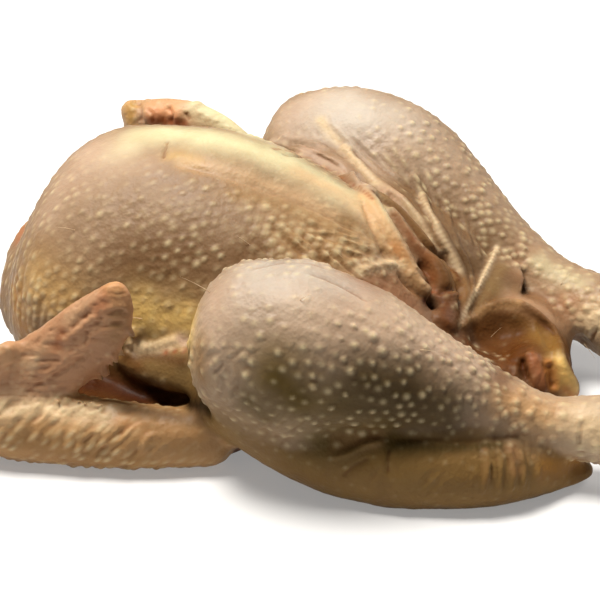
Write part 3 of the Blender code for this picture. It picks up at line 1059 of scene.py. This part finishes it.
CREAM = linear(238, 210, 166)
IVORY = linear(224, 210, 192)
PALE_YELLOW = linear(234, 224, 178)
PEACH = linear(234, 194, 144)
YELLOW = linear(242, 204, 122)
OLIVE = linear(196, 142, 70)
TAN = linear(170, 132, 84)
SAND = linear(216, 168, 112)
PINK = linear(206, 176, 149)
ROSE = linear(210, 148, 102)
MAUVE = linear(152, 118, 82)
LILAC = linear(198, 170, 140)
BROWN = linear(130, 90, 50)
UMBER = linear(108, 60, 20)
BACK_BROWN = linear(148, 114, 64)
GREY = linear(114, 92, 58)
GREEN_GREY = linear(114, 92, 42)
ORANGE = linear(226, 152, 80)
RED = linear(184, 94, 46)
DEEP_RED = linear(66, 28, 10)
SHADE = linear(34, 20, 9)
CORAL = linear(244, 176, 124)
WEB_RED = linear(84, 44, 20)
ROPE = linear(228, 184, 130)
HAND = linear(204, 154, 114)
HOCK = linear(190, 148, 110)
BELLY = linear(160, 112, 76)
RUST = linear(164, 102, 60)
FLAP = linear(178, 116, 76)
GOLD = linear(150, 110, 50)
# The pale colour of the bead tips: paler follicle skin, its narrow centres also a painted highlight.
BEAD_TIP = linear(242, 222, 174)

# How deep the painted colours are, so that they look right under the studio's light.
SKIN_DEPTH = 0.64
REGION_COLOURS = {
    "trunk": MAUVE * 0.5 + TAN * 0.25 + PINK * 0.17,
    "near_drumstick": LILAC * 0.94,
    "far_drumstick": LILAC * 0.5 + MAUVE * 0.5,
    "near_thigh": BACK_BROWN,
    "far_thigh": BROWN,
    "near_forearm": SAND * 0.85,
    "near_hand": HAND,
    "far_wing": SAND * 0.6 + PINK * 0.4,
    "near_upper_wing": UMBER * 0.8,
    "rump": UMBER * 0.7 + TAN * 0.18,
    "web": BROWN * 0.7 + TAN * 0.3,
    "neck": RED * 0.7,
}

# Patches of colour, from the breast and the near wing to the legs and the tail: pixels, radius,
# colour and share. Some of them paint shade and highlights into the skin, as noted beside them.
COLOUR_STROKES = (
    (((120, 148), (150, 133), (250, 148), (340, 190), (378, 210)), 10.0, PALE_YELLOW, 0.95),
    (((225, 128), (290, 158)), 9.0, PALE_YELLOW, 0.8),
    (((300, 174), (345, 197), (372, 214)), 6.0, PEACH, 0.7),
    (((185, 163), (240, 177), (300, 200), (345, 224), (375, 244)), 3.6, PEACH, 0.75),
    (((172, 156), (196, 162)), 3.6, OLIVE * 0.4 + YELLOW * 0.6, 0.6),
    (((365, 215), (380, 240)), 4.0, PEACH, 0.7),
    (((90, 150),), 14.0, PINK, 0.9),
    (((60, 200), (75, 175)), 15.0, PINK, 0.85),
    (((110, 178), (145, 168)), 10.0, PINK, 0.6),
    (((80, 215), (145, 196), (190, 204), (250, 218), (310, 240)), 15.0, TAN * 0.4 + PINK * 0.37, 0.9),
    # These two patches low on the breast: partly the skin's own tone, partly painted shade where the
    # breast turns away from the light.
    (((150, 264), (190, 262)), 17.0, BROWN * 0.4 + MAUVE * 0.36, 0.9),
    (((225, 275), (245, 268)), 11.0, MAUVE, 0.9),
    (((40, 288), (65, 305)), 12.0, SAND * 0.5 + YELLOW * 0.5, 0.75),
    (((16, 300), (22, 328)), 8.0, OLIVE, 0.85),
    (((135, 314), (170, 322), (190, 335)), 9.0, YELLOW * 1.15, 1.0),
    (((230, 192), (300, 213), (345, 238)), 4.0, TAN, 0.7),
    (((290, 238), (340, 250)), 12.0, TAN, 0.85),
    # Darker brown: painted shade low on the rear of the breast.
    (((245, 258), (285, 262)), 9.0, BROWN * 0.75, 0.9),
    (((352, 224), (366, 230), (386, 252)), 6.0, TAN * 0.8, 0.8),
    (((20, 238), (27, 222)), 4.0, RED * 0.6 + ROSE * 0.4, 0.7),
    (((122, 356), (160, 366), (192, 380)), 11.0, TAN * 0.45 + GREEN_GREY * 0.45, 1.0),
    (((124, 356), (136, 366)), 4.0, UMBER * 1.1, 0.6),
    (((184, 364),), 4.5, GREY * 0.6, 0.7),
    # Brown under the pale fold: painted shadow cast by the fold.
    (((128, 353), (160, 356), (190, 352)), 3.0, BROWN * 0.6, 0.9),
    (((134, 346), (150, 348), (162, 346), (174, 341)), 2.2, CREAM * 1.2, 1.0),
    (((180, 338), (184, 341)), 2.2, PINK * 1.3, 0.95),
    # Dark red under the pink knob: painted shadow beneath the knob.
    (((166, 352), (184, 350)), 1.4, RED * 0.6, 0.8),
    # The black gap between the flank sheet and the strip: painted shade.
    (((150, 392), (175, 399), (203, 411)), 4.0, SHADE, 1.0),
    (((88, 384), (108, 387), (124, 392), (140, 398)), 8.0, WEB_RED * 0.8, 1.0),
    (((92, 376), (106, 370)), 5.0, ROSE * 0.5 + UMBER * 0.3, 0.8),
    (((112, 407), (150, 412), (200, 420)), 4.2, MAUVE * 0.62, 1.0),
    (((20, 440), (100, 456), (150, 461)), 6.0, OLIVE * 0.4 + TAN * 0.6, 0.7),
    # Cream along the forearm's upper edge: paler feather tufts, partly a painted highlight on the side
    # that faces up.
    (((5, 408), (50, 408), (105, 413)), 4.5, CREAM * 1.2, 0.85),
    (((120, 420), (150, 430), (175, 434)), 2.6, ORANGE * 0.5 + PEACH * 0.5, 0.8),
    (((160, 438), (205, 444)), 7.0, SAND * 0.62, 0.8),
    (((185, 452), (230, 458)), 7.0, SAND * 0.5 + OLIVE * 0.3, 0.8),
    (((30, 365), (70, 322), (98, 296)), 2.5, CREAM, 0.5),
    (((120, 308), (116, 335)), 4.5, TAN, 0.5),
    (((90, 306), (60, 334), (45, 352)), 3.5, ROSE * 0.8, 0.5),
    (((62, 332), (57, 344)), 2.2, RED * 0.8, 0.6),
    (((104, 294), (99, 305)), 3.6, RED, 0.5),
    (((112, 283), (117, 289)), 4.0, ORANGE * 0.5 + PEACH * 0.4, 0.9),
    (((8, 345), (10, 358)), 6.0, ROSE * 0.5 + PEACH * 0.5, 0.9),
    (((131, 106), (131, 118)), 4.0, OLIVE * 0.6 + YELLOW * 0.3, 0.95),
    (((141, 112), (141, 120)), 1.8, PINK, 0.7),
    (((154, 110), (172, 110)), 5.0, CORAL, 0.9),
    (((164, 121), (184, 123)), 2.6, RED, 0.85),
    (((153, 121),), 3.0, RED, 0.7),
    (((205, 112), (225, 122), (250, 134)), 7.0, PALE_YELLOW, 0.95),
    (((193, 104),), 3.0, PALE_YELLOW, 0.8),
    (((290, 118), (305, 106)), 10.0, PINK, 1.0),
    # Ivory over the far drumstick's top: paler skin, partly a painted highlight where the light falls.
    (((340, 108), (388, 125)), 17.0, IVORY * 0.92, 1.0),
    (((395, 155), (430, 166)), 13.0, LILAC, 1.0),
    # Darker mauves down the far drumstick's side towards the camera: partly the flesh's own colour,
    # partly painted shade.
    (((412, 192), (440, 216)), 11.0, MAUVE * 0.75, 1.0),
    (((458, 232), (485, 246)), 13.0, MAUVE * 0.78, 1.0),
    (((450, 255), (480, 272), (505, 284)), 9.0, MAUVE * 0.62, 0.9),
    (((530, 262), (550, 285), (572, 305)), 10.0, HOCK, 0.8),
    (((540, 262), (578, 284)), 5.0, PALE_YELLOW, 0.6),
    (((572, 302),), 6.0, ROSE, 0.5),
    (((594, 316),), 8.0, CREAM * 1.2, 0.9),
    (((492, 288), (512, 296)), 4.5, GREEN_GREY, 0.6),
    (((512, 297), (535, 305), (554, 319), (574, 338)), 5.0, HOCK, 0.9),
    (((272, 144), (303, 151), (341, 169), (372, 193)), 3.4, PINK, 0.8),
    (((320, 120), (346, 150), (374, 180), (402, 201), (424, 227), (441, 251)), 2.2, CREAM, 0.8),
    (((384, 190), (398, 197)), 3.0, ROSE * 0.4 + PINK * 0.6, 0.7),
    (((440, 242), (430, 226)), 4.0, BROWN * 0.9, 0.9),
    (((453, 258), (461, 282)), 2.6, BROWN * 0.9, 0.85),
    (((421, 196), (435, 223), (449, 249), (459, 270)), 1.7, CREAM, 0.75),
    (((456, 277), (462, 300), (461, 320)), 4.0, BROWN * 0.7 + TAN * 0.3, 0.85),
    (((366, 195), (390, 236), (406, 262), (424, 292)), 4.4, ROPE, 0.95),
    (((395, 247), (400, 257)), 2.8, ORANGE, 0.6),
    (((352, 286), (385, 290), (410, 303)), 9.0, BELLY, 1.0),
    (((397, 263), (378, 266), (361, 270)), 2.4, CREAM * 1.15, 1.0),
    (((395, 215), (420, 250), (440, 275)), 3.0, RUST, 0.75),
    (((441, 266), (446, 286)), 4.0, BROWN * 0.75, 0.9),
    (((446, 298), (447, 322)), 6.5, RUST * 0.5, 0.95),
    # Dark red along a crease: painted shade in the crease.
    (((424, 267), (431, 280), (432, 292)), 2.0, RED * 0.6, 0.9),
    # Near-black red in the opening: painted shade inside the hole.
    (((425, 301), (434, 304)), 3.4, DEEP_RED, 1.0),
    # Umber along the long crease: painted shade in the crease.
    (((374, 192), (401, 211), (425, 240), (446, 260), (460, 287), (460, 312)), 1.4, UMBER, 0.9),
    # Dark red along the crease beside the folds: painted shade in the crease.
    (((274, 149), (315, 163), (345, 178), (372, 198)), 1.2, RED * 0.7, 0.7),
    (((502, 268), (487, 292), (471, 316)), 3.0, TAN * 0.5 + GREY * 0.5, 0.85),
    (((497, 248), (478, 287), (460, 325)), 1.3, CREAM, 0.95),
    (((464, 326), (486, 309), (518, 303)), 1.8, SAND, 0.8),
    # Ivory over the near drumstick's top: paler skin, partly a painted highlight where the light falls
    # on it.
    (((260, 274), (300, 276), (335, 286)), 15.0, IVORY * 0.84, 0.95),
    (((214, 298), (210, 320)), 9.0, PINK, 0.8),
    (((330, 328), (400, 332), (450, 362)), 15.0, LILAC * 0.6 + PINK * 0.65, 0.85),
    # These greys and grey-greens on the near leg's lower side: partly darker flesh under the skin,
    # partly painted shade on the side turned away from the light.
    (((365, 382), (405, 392)), 14.0, GREY * 0.8, 1.0),
    (((345, 408), (400, 410), (445, 405)), 11.0, GREY * 0.62, 0.9),
    (((250, 405), (262, 415)), 8.0, GREEN_GREY * 0.7, 0.8),
    (((275, 378), (300, 402)), 13.0, GREEN_GREY * 0.9, 1.0),
    (((225, 420), (262, 442)), 10.0, GREEN_GREY * 0.6 + SAND * 0.3, 0.8),
    (((320, 442), (385, 430)), 10.0, GREEN_GREY * 0.8, 0.95),
    (((340, 442), (378, 438)), 3.6, TAN * 0.9, 0.8),
    # Grey lower on the near leg as well: partly darker flesh, partly painted shade.
    (((415, 418), (445, 420)), 9.0, GREY * 0.75, 0.95),
    (((480, 408), (500, 422), (535, 432)), 8.0, LILAC * 0.7, 0.8),
    (((510, 398), (545, 415)), 9.0, SAND * 1.15, 0.8),
    (((585, 425), (598, 430)), 9.0, CREAM * 1.15, 0.9),
    (((200, 345), (200, 372)), 5.0, TAN, 0.7),
    (((545, 470), (578, 462)), 5.0, OLIVE * 0.9, 0.9),
    # Dark grey-green line under the near drumstick: painted shadow along its lower edge.
    (((392, 446), (450, 447), (500, 445)), 2.8, GREEN_GREY * 0.45, 0.85),
    (((485, 450), (487, 480)), 1.2, ROSE * 0.7, 0.3),
    (((512, 450), (515, 470)), 3.0, ROSE * 0.6, 0.5),
    # Dark umber in the hollow behind the vent: the skin's own brown, partly painted shade in the hollow.
    (((474, 345), (505, 350)), 13.0, UMBER * 0.8, 0.95),
    (((522, 322), (543, 334), (554, 352)), 4.5, GOLD, 0.9),
    (((512, 366), (500, 380)), 6.0, UMBER, 0.7),
    (((534, 358), (541, 380)), 3.6, FLAP, 0.95),
    # Dark red in the vent's slit: painted shade in the slit.
    (((522, 362), (525, 378)), 1.6, DEEP_RED, 0.95),
    # Bright yellow on the fat lobe: the fat's own yellow, brightened as a painted highlight.
    (((559, 362), (564, 376), (573, 390)), 3.4, YELLOW * 1.4, 1.0),
    (((566, 390), (575, 396)), 2.6, ORANGE, 0.8),
    (((549, 364), (553, 386)), 2.4, ORANGE * 1.1, 0.9),
)

# How softly the regions meet, and how far and how unevenly a stroke spreads.
REGION_BLUR = 6
STROKE_REACH = 2.2
STROKE_UNEVEN = 0.22

# Follicles: how they are spread and how large their beads are.
FOLLICLE_SEED = 11
TRUNK_AXIS_HEIGHT = 25
TRUNK_ROUND_SIZE = 62
PATCH_EDGE = 0.42
PATCH_ROW_GAP = 0.84
ROW_GAP = 0.82
WIDE_GAP = 5.6
EMPTY_SHARE = 0.06
LEAST_STRENGTH = 0.08
BEAD_REACH = 1.75
# How narrow a bead's pale centre is; the narrow centre is partly a painted highlight.
TIP_SHARPNESS = 2.3
ROW_TURN = math.radians(28)
LEAST_SHARE = 0.78
BEAD_HEIGHT = 0.85

FOLLICLE_REGIONS = {
    "trunk": 0.52, "near_drumstick": 0.85, "far_drumstick": 0.85, "near_thigh": 0.12,
    "far_thigh": 0.5, "near_forearm": 0.75, "near_hand": 0.25, "far_wing": 0.6,
    "near_upper_wing": 0.0, "rump": 0.1, "web": 0.1,
}
FOLLICLE_GAPS = {
    "trunk": 5.0, "near_drumstick": 5.0, "far_drumstick": 5.0, "near_forearm": 4.4, "near_hand": 3.6,
    "far_wing": 4.4,
}
BEAD_SIZES = {"trunk": 1.2, "near_forearm": 1.0, "near_drumstick": 1.15, "far_drumstick": 1.15}

# The limb that a region's rows run along, and the size of its round.
FOLLICLE_LIMBS = (
    ("near_drumstick", NEAR_DRUMSTICK, 27),
    ("far_drumstick", FAR_DRUMSTICK, 27),
    ("near_thigh", NEAR_THIGH, 27),
    ("far_thigh", FAR_THIGH, 27),
    ("near_forearm", NEAR_FOREARM, 12),
    ("near_hand", NEAR_HAND, 14),
    ("far_wing", FAR_FOREARM, 12),
    ("near_upper_wing", NEAR_UPPER_WING, 14),
    ("rump", RUMP, 22),
    ("web", FAR_WEB, 14),
)

# The way that a region's beads are drawn out, and by how much.
FOLLICLE_GROWTH = {
    "trunk": ((0.68, 0.3, 0.67), 1.35),
    "near_forearm": ((0.7, 0.3, 0.65), 2.8),
    "web": ((0.6, -0.4, -0.7), 2.0),
    "far_drumstick": ((0.9, -0.2, -0.3), 1.15),
    "near_drumstick": ((0.9, 0.1, -0.3), 1.15),
}

# Where the follicles stand closer: region, pixels, radius of the patch, gap and size of a bead.
DENSE_PATCHES = (
    ("trunk", ((265, 232), (300, 236), (345, 252)), 15.0, 4.3, 1.6),
    ("trunk", ((120, 208), (180, 206), (235, 215)), 11.0, 4.4, 1.25),
    ("trunk", ((14, 262), (26, 295), (44, 322)), 13.0, 4.1, 1.4),
    ("far_drumstick", ((485, 195), (525, 240), (560, 280)), 15.0, 4.5, 1.25),
)

# Where the beads are drawn out into streaks.
STREAK_DIRECTION = (0.6, -0.4, -0.7)
STREAK_STRETCH = 2.8
STREAK_STROKES = ((((400, 170), (425, 205), (455, 250)), 8.0, 1.0, 1.0),)

# Where the follicles are stronger or weaker: pixels, radius, strength and share.
FOLLICLE_STROKES = (
    (((120, 135), (250, 148), (340, 190), (375, 208)), 12.0, 0.0, 1.0),
    (((175, 165), (240, 181), (300, 206), (345, 230), (372, 246)), 6.0, 0.0, 1.0),
    (((90, 155), (130, 170)), 14.0, 0.2, 0.9),
    (((110, 215), (200, 212), (250, 225)), 10.0, 0.55, 0.9),
    (((265, 236), (300, 240), (345, 256)), 10.0, 0.8, 0.9),
    (((130, 265), (220, 285)), 12.0, 0.35, 0.9),
    (((14, 262), (26, 295), (44, 322)), 12.0, 0.85, 0.9),
    (((150, 312), (180, 325)), 9.0, 0.6, 0.8),
    (((290, 275), (330, 290)), 13.0, 0.4, 0.9),
    (((215, 310),), 11.0, 0.35, 0.9),
    (((250, 420), (330, 440)), 12.0, 0.5, 0.8),
    (((340, 110), (300, 115)), 17.0, 0.08, 1.0),
    (((410, 195), (440, 240)), 8.0, 0.35, 0.9),
    (((490, 215), (520, 250)), 13.0, 1.2, 0.9),
    (((430, 370), (500, 400)), 16.0, 1.0, 0.8),
    (((352, 290), (410, 305), (440, 315)), 9.0, 0.0, 1.0),
    (((150, 445), (215, 452)), 10.0, 0.15, 0.95),
    (((112, 409), (150, 414), (195, 422)), 5.0, 0.0, 1.0),
    (((152, 430), (175, 434), (208, 442)), 8.0, 0.1, 1.0),
    (((130, 364), (160, 370), (188, 380)), 8.0, 0.0, 1.0),
)

# Wrinkles: pixels, radius of the patch, direction, length, spacing and height.
WRINKLES = (
    (((285, 248), (345, 262)), 11.0, (0.8, -0.1, -0.5), 12.0, 2.8, 1.5),
    (((335, 232), (365, 250)), 8.0, (0.7, 0.3, -0.4), 9.0, 2.6, 1.1),
    (((30, 290), (60, 310)), 13.0, (0.2, 0.2, 1.0), 13.0, 3.0, 0.35),
    (((180, 280), (150, 250)), 14.0, (0.9, -0.2, 0.3), 16.0, 3.2, 0.35),
    (((310, 145), (380, 180)), 9.0, (0.75, -0.2, -0.6), 20.0, 2.4, 0.5),
    (((420, 200), (450, 250)), 9.0, (0.6, -0.4, -0.7), 20.0, 2.4, 0.6),
    (((500, 470), (520, 465)), 11.0, (0.0, 0.1, 1.0), 16.0, 2.2, 0.7),
    (((420, 475), (350, 480)), 14.0, (0.5, 0.1, 0.7), 12.0, 3.4, 0.4),
    (((215, 350), (235, 400), (280, 430)), 14.0, (0.6, -0.1, 0.7), 9.0, 2.6, 0.6),
    (((270, 300), (330, 320)), 14.0, (0.9, 0.1, -0.3), 16.0, 2.6, 0.22),
    (((5, 412), (60, 424), (110, 434), (135, 440)), 10.0, (0.7, 0.3, 0.65), 9.0, 3.0, 1.2),
    (((25, 380), (60, 345), (105, 310)), 12.0, (0.96, 0.28, 0.0), 8.0, 1.6, 0.7),
    (((510, 350), (540, 380)), 8.0, (0.2, 0.2, 1.0), 12.0, 2.2, 0.6),
)


def tint(skin, region):
    """The colour of the skin at each point, with the shade and highlights that the strokes paint in."""
    colour = np.zeros((skin.count, 3))
    total = np.zeros(skin.count)
    for name, value in REGION_COLOURS.items():
        colour += region[name][:, None] * value
        total += region[name]
    colour /= np.maximum(total, 1e-6)[:, None]
    return wash(skin, colour, COLOUR_STROKES) * SKIN_DEPTH


def new_material(name):
    """A new material, its node tree and its main shader."""
    material = bpy.data.materials.new(name)
    material.use_nodes = True
    return material, material.node_tree, material.node_tree.nodes["Principled BSDF"]


def set_inputs(node, values):
    """Sets constants on a node's own sockets."""
    for name, value in values.items():
        node.inputs[name].default_value = value


def add_node(tree, kind, place, values, **settings):
    """A shader node with its settings and the values of its inputs."""
    node = tree.nodes.new(kind)
    node.location = place
    for name, value in settings.items():
        setattr(node, name, value)
    set_inputs(node, values)
    return node


def add_ramp(tree, place, low_end, low, high_end, high):
    """A ramp from one colour at its low end to another at its high end."""
    ramp = add_node(tree, "ShaderNodeValToRGB", place, {})
    elements = ramp.color_ramp.elements
    elements[0].position, elements[0].color = low_end, low
    elements[1].position, elements[1].color = high_end, high
    return ramp


def skin_material():
    """Moist raw skin: the tint, mottled; paler beads, their centres partly a painted highlight; creases
    darkened as painted shade, with a redder tint of their own; a thin wet gloss.
    """
    material, tree, shader = new_material("hen_skin")
    link = tree.links.new
    shader.location = (700, 0)
    coordinate = add_node(tree, "ShaderNodeTexCoord", (-1300, 0), {})
    tinted = add_node(tree, "ShaderNodeAttribute", (-1000, 300), {}, attribute_name="tint")
    tip = add_node(tree, "ShaderNodeAttribute", (-1000, 100), {}, attribute_name="tip")
    hollow = add_node(tree, "ShaderNodeAttribute", (-1000, -100), {}, attribute_name="hollow")

    values = {"Scale": 70.0, "Detail": 5.0, "Roughness": 0.6}
    broad = add_node(tree, "ShaderNodeTexNoise", (-1000, -300), values)
    link(coordinate.outputs["Object"], broad.inputs["Vector"])
    shade = add_ramp(tree, (-750, -300), 0.3, (0.80, 0.74, 0.70, 1), 0.68, (1.0, 1.0, 1.0, 1))
    link(broad.outputs["Fac"], shade.inputs["Fac"])
    mixing = {"data_type": "RGBA", "blend_type": "MULTIPLY"}
    mottled = add_node(tree, "ShaderNodeMix", (-400, 250), {0: 0.8}, **mixing)
    link(tinted.outputs["Color"], mottled.inputs[6])
    link(shade.outputs["Color"], mottled.inputs[7])

    # Beads are mixed towards a pale tip colour: paler follicle skin, partly a painted highlight on each
    # bead.
    tip_colour = (*BEAD_TIP * SKIN_DEPTH, 1)
    beaded = add_node(tree, "ShaderNodeMix", (-150, 250), {}, data_type="RGBA", blend_type="MIX")
    beaded.inputs[7].default_value = tip_colour
    bead_share = add_node(tree, "ShaderNodeMath", (-400, 60), {1: 0.62}, operation="MULTIPLY")
    link(tip.outputs["Fac"], bead_share.inputs[0])
    link(bead_share.outputs[0], beaded.inputs[0])
    link(mottled.outputs[2], beaded.inputs[6])

    # The hollows are darkened and reddened: painted shade in the creases, with some real redness there.
    shaded_creases = add_node(tree, "ShaderNodeMix", (150, 250), {7: (0.62, 0.42, 0.30, 1)}, **mixing)
    values = {"From Min": 0.01, "From Max": 0.16, "To Max": 0.85}
    crease_shade_share = add_node(tree, "ShaderNodeMapRange", (-400, -120), values, clamp=True)
    link(hollow.outputs["Fac"], crease_shade_share.inputs["Value"])
    link(crease_shade_share.outputs[0], shaded_creases.inputs[0])
    link(beaded.outputs[2], shaded_creases.inputs[6])
    link(shaded_creases.outputs[2], shader.inputs["Base Color"])

    values = {"From Min": 0.3, "From Max": 0.7, "To Min": 0.44, "To Max": 0.66}
    gloss = add_node(tree, "ShaderNodeMapRange", (150, -100), values)
    link(broad.outputs["Fac"], gloss.inputs["Value"])
    link(gloss.outputs[0], shader.inputs["Roughness"])

    fine = add_node(tree, "ShaderNodeTexNoise", (-400, -400), {"Scale": 900.0, "Detail": 3.0})
    link(coordinate.outputs["Object"], fine.inputs["Vector"])
    cells = add_node(tree, "ShaderNodeTexVoronoi", (-400, -600), {"Scale": 650.0})
    link(coordinate.outputs["Object"], cells.inputs["Vector"])
    relief = add_node(tree, "ShaderNodeMath", (-150, -450), {}, operation="ADD")
    link(fine.outputs["Fac"], relief.inputs[0])
    link(cells.outputs["Distance"], relief.inputs[1])
    bump = add_node(tree, "ShaderNodeBump", (400, -350), {"Strength": 0.35, "Distance": 0.0004})
    link(relief.outputs[0], bump.inputs["Height"])
    link(bump.outputs["Normal"], shader.inputs["Normal"])

    grey = add_node(tree, "ShaderNodeRGBToBW", (150, -300), {})
    link(tinted.outputs["Color"], grey.inputs["Color"])
    values = {"From Min": 0.03, "From Max": 0.3, "To Min": 0.04, "To Max": 0.25}
    shine = add_node(tree, "ShaderNodeMapRange", (400, -200), values, clamp=True)
    link(grey.outputs["Val"], shine.inputs["Value"])
    link(shine.outputs[0], shader.inputs["Specular IOR Level"])
    set_inputs(shader, {
        "Subsurface Weight": 0.2,
        "Subsurface Radius": (1.0, 0.55, 0.35),
        "Subsurface Scale": 0.003,
        "Coat Weight": 0.03,
        "Coat Roughness": 0.3,
    })
    return material


def hair_material():
    """Pale horn, a little uneven along its length."""
    material, tree, shader = new_material("hair")
    coordinate = add_node(tree, "ShaderNodeTexCoord", (-700, 0), {})
    grain = add_node(tree, "ShaderNodeTexNoise", (-500, 0), {"Scale": 400.0})
    tree.links.new(coordinate.outputs["Object"], grain.inputs["Vector"])
    ramp = add_ramp(tree, (-300, 0), 0.0, (0.42, 0.26, 0.13, 1), 1.0, (0.75, 0.58, 0.38, 1))
    tree.links.new(grain.outputs["Fac"], ramp.inputs["Fac"])
    tree.links.new(ramp.outputs["Color"], shader.inputs["Base Color"])
    shader.inputs["Roughness"].default_value = 0.5
    return material


def make_piece(skin, colour, tip, hollow):
    """The skin as a mesh, with its marks stored on its points."""
    mesh = bpy.data.meshes.new("hen_skin")
    mesh.vertices.add(skin.count)
    mesh.vertices.foreach_set("co", (skin.points * MM).ravel())
    mesh.loops.add(len(skin.faces) * 4)
    mesh.loops.foreach_set("vertex_index", skin.faces.ravel().astype(np.int32))
    mesh.polygons.add(len(skin.faces))
    starts = np.arange(0, len(skin.faces) * 4, 4, dtype=np.int32)
    mesh.polygons.foreach_set("loop_start", starts)
    mesh.update(calc_edges=True)
    mesh.validate()
    mesh.shade_smooth()
    layer = mesh.attributes.new("tint", "FLOAT_COLOR", "POINT")
    solid_colour = np.column_stack([colour, np.ones(skin.count)]).astype(np.float32)
    layer.data.foreach_set("color", solid_colour.ravel())
    for name, values in (("tip", tip), ("hollow", hollow)):
        layer = mesh.attributes.new(name, "FLOAT", "POINT")
        layer.data.foreach_set("value", values.astype(np.float32))
    mesh.materials.append(skin_material())
    return add_object("hen_skin", mesh)


def add_hairs(skin):
    """The stray hairs, as one piece of fine curved stems that start inside the skin."""
    shape = bmesh.new()
    share = np.linspace(-HAIR_ROOT, 1.0, HAIR_STEPS)[:, None]
    for pixel, reach, sag in HAIRS:
        root, normal = skin.at(*pixel)
        droop = np.array((0, 0, -sag)) * share ** 2 + normal * sag * share
        stem = root + np.array(reach, dtype=float) * share + droop
        width = HAIR_RADIUS * (1.15 - share[:, 0])
        add_ribbon(shape, stem, np.tile(HAIR_TOP, (HAIR_STEPS, 1)), width, width)
    mesh = bpy.data.meshes.new("hen_hairs")
    for vert in shape.verts:
        vert.co *= MM
    shape.to_mesh(mesh)
    shape.free()
    mesh.shade_smooth()
    mesh.materials.append(hair_material())
    return add_object("hen_hairs", mesh)


# Studio


def add_camera():
    """The camera, where the photo's camera was."""
    camera = bpy.data.cameras.new("camera")
    camera.sensor_width = SENSOR_WIDTH
    camera.lens = FOCAL_PIXELS / PHOTO_WIDTH * SENSOR_WIDTH
    camera.clip_start = 0.01
    eye = add_object("camera", camera)
    eye.location = Vector(EYE) * MM
    eye.rotation_euler = Vector(FORWARD).to_track_quat("-Z", "Y").to_euler()
    bpy.context.scene.camera = eye


def add_softbox(name, place, size, power, colour):
    """A square area light that faces the bird."""
    light = bpy.data.lights.new(name, "AREA")
    light.size = size
    light.energy = power
    light.color = colour
    box = add_object(name, light)
    box.location = place
    towards = Vector((0, 0, 0.03)) - Vector(place)
    box.rotation_euler = towards.to_track_quat("-Z", "Y").to_euler()


def add_floor():
    """A plain pale floor, a hair's breadth below the bird."""
    bpy.ops.mesh.primitive_plane_add(size=8, location=(0, 0, -0.0002))
    floor = bpy.context.object
    floor.name = "floor"
    material, _, shader = new_material("pale_floor")
    set_inputs(shader, {
        "Base Color": (0.55, 0.55, 0.55, 1),
        "Roughness": 0.7,
        "Emission Color": (1.0, 1.0, 1.0, 1),
        "Emission Strength": 0.25,
    })
    floor.data.materials.append(material)


def add_studio():
    """Plain soft light: a large box above, a faint one in front and one behind for the rim."""
    world = bpy.data.worlds.new("studio")
    world.use_nodes = True
    background = world.node_tree.nodes["Background"]
    set_inputs(background, {"Color": (1.0, 0.98, 0.95, 1), "Strength": 0.08})
    bpy.context.scene.world = world
    add_softbox("key", (-0.28, -0.06, 1.08), 0.45, 25.0, (1.0, 0.96, 0.9))
    add_softbox("front", (-0.7, -1.0, 0.7), 0.8, 0.5, (1.0, 0.97, 0.94))
    add_softbox("rim", (0.75, 0.8, 0.75), 0.6, 7.0, (1.0, 0.98, 0.95))
    bpy.context.scene.view_settings.view_transform = "Standard"


def main():
    add_camera()
    add_floor()
    add_studio()
    skin = lay_folds(build_form())
    region = split_regions(skin)
    tip, hollow = sculpt(skin, region)
    colour = tint(skin, region)
    for piece in (make_piece(skin, colour, tip, hollow), add_hairs(skin)):
        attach(piece, "root")
        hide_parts("hen")


main()
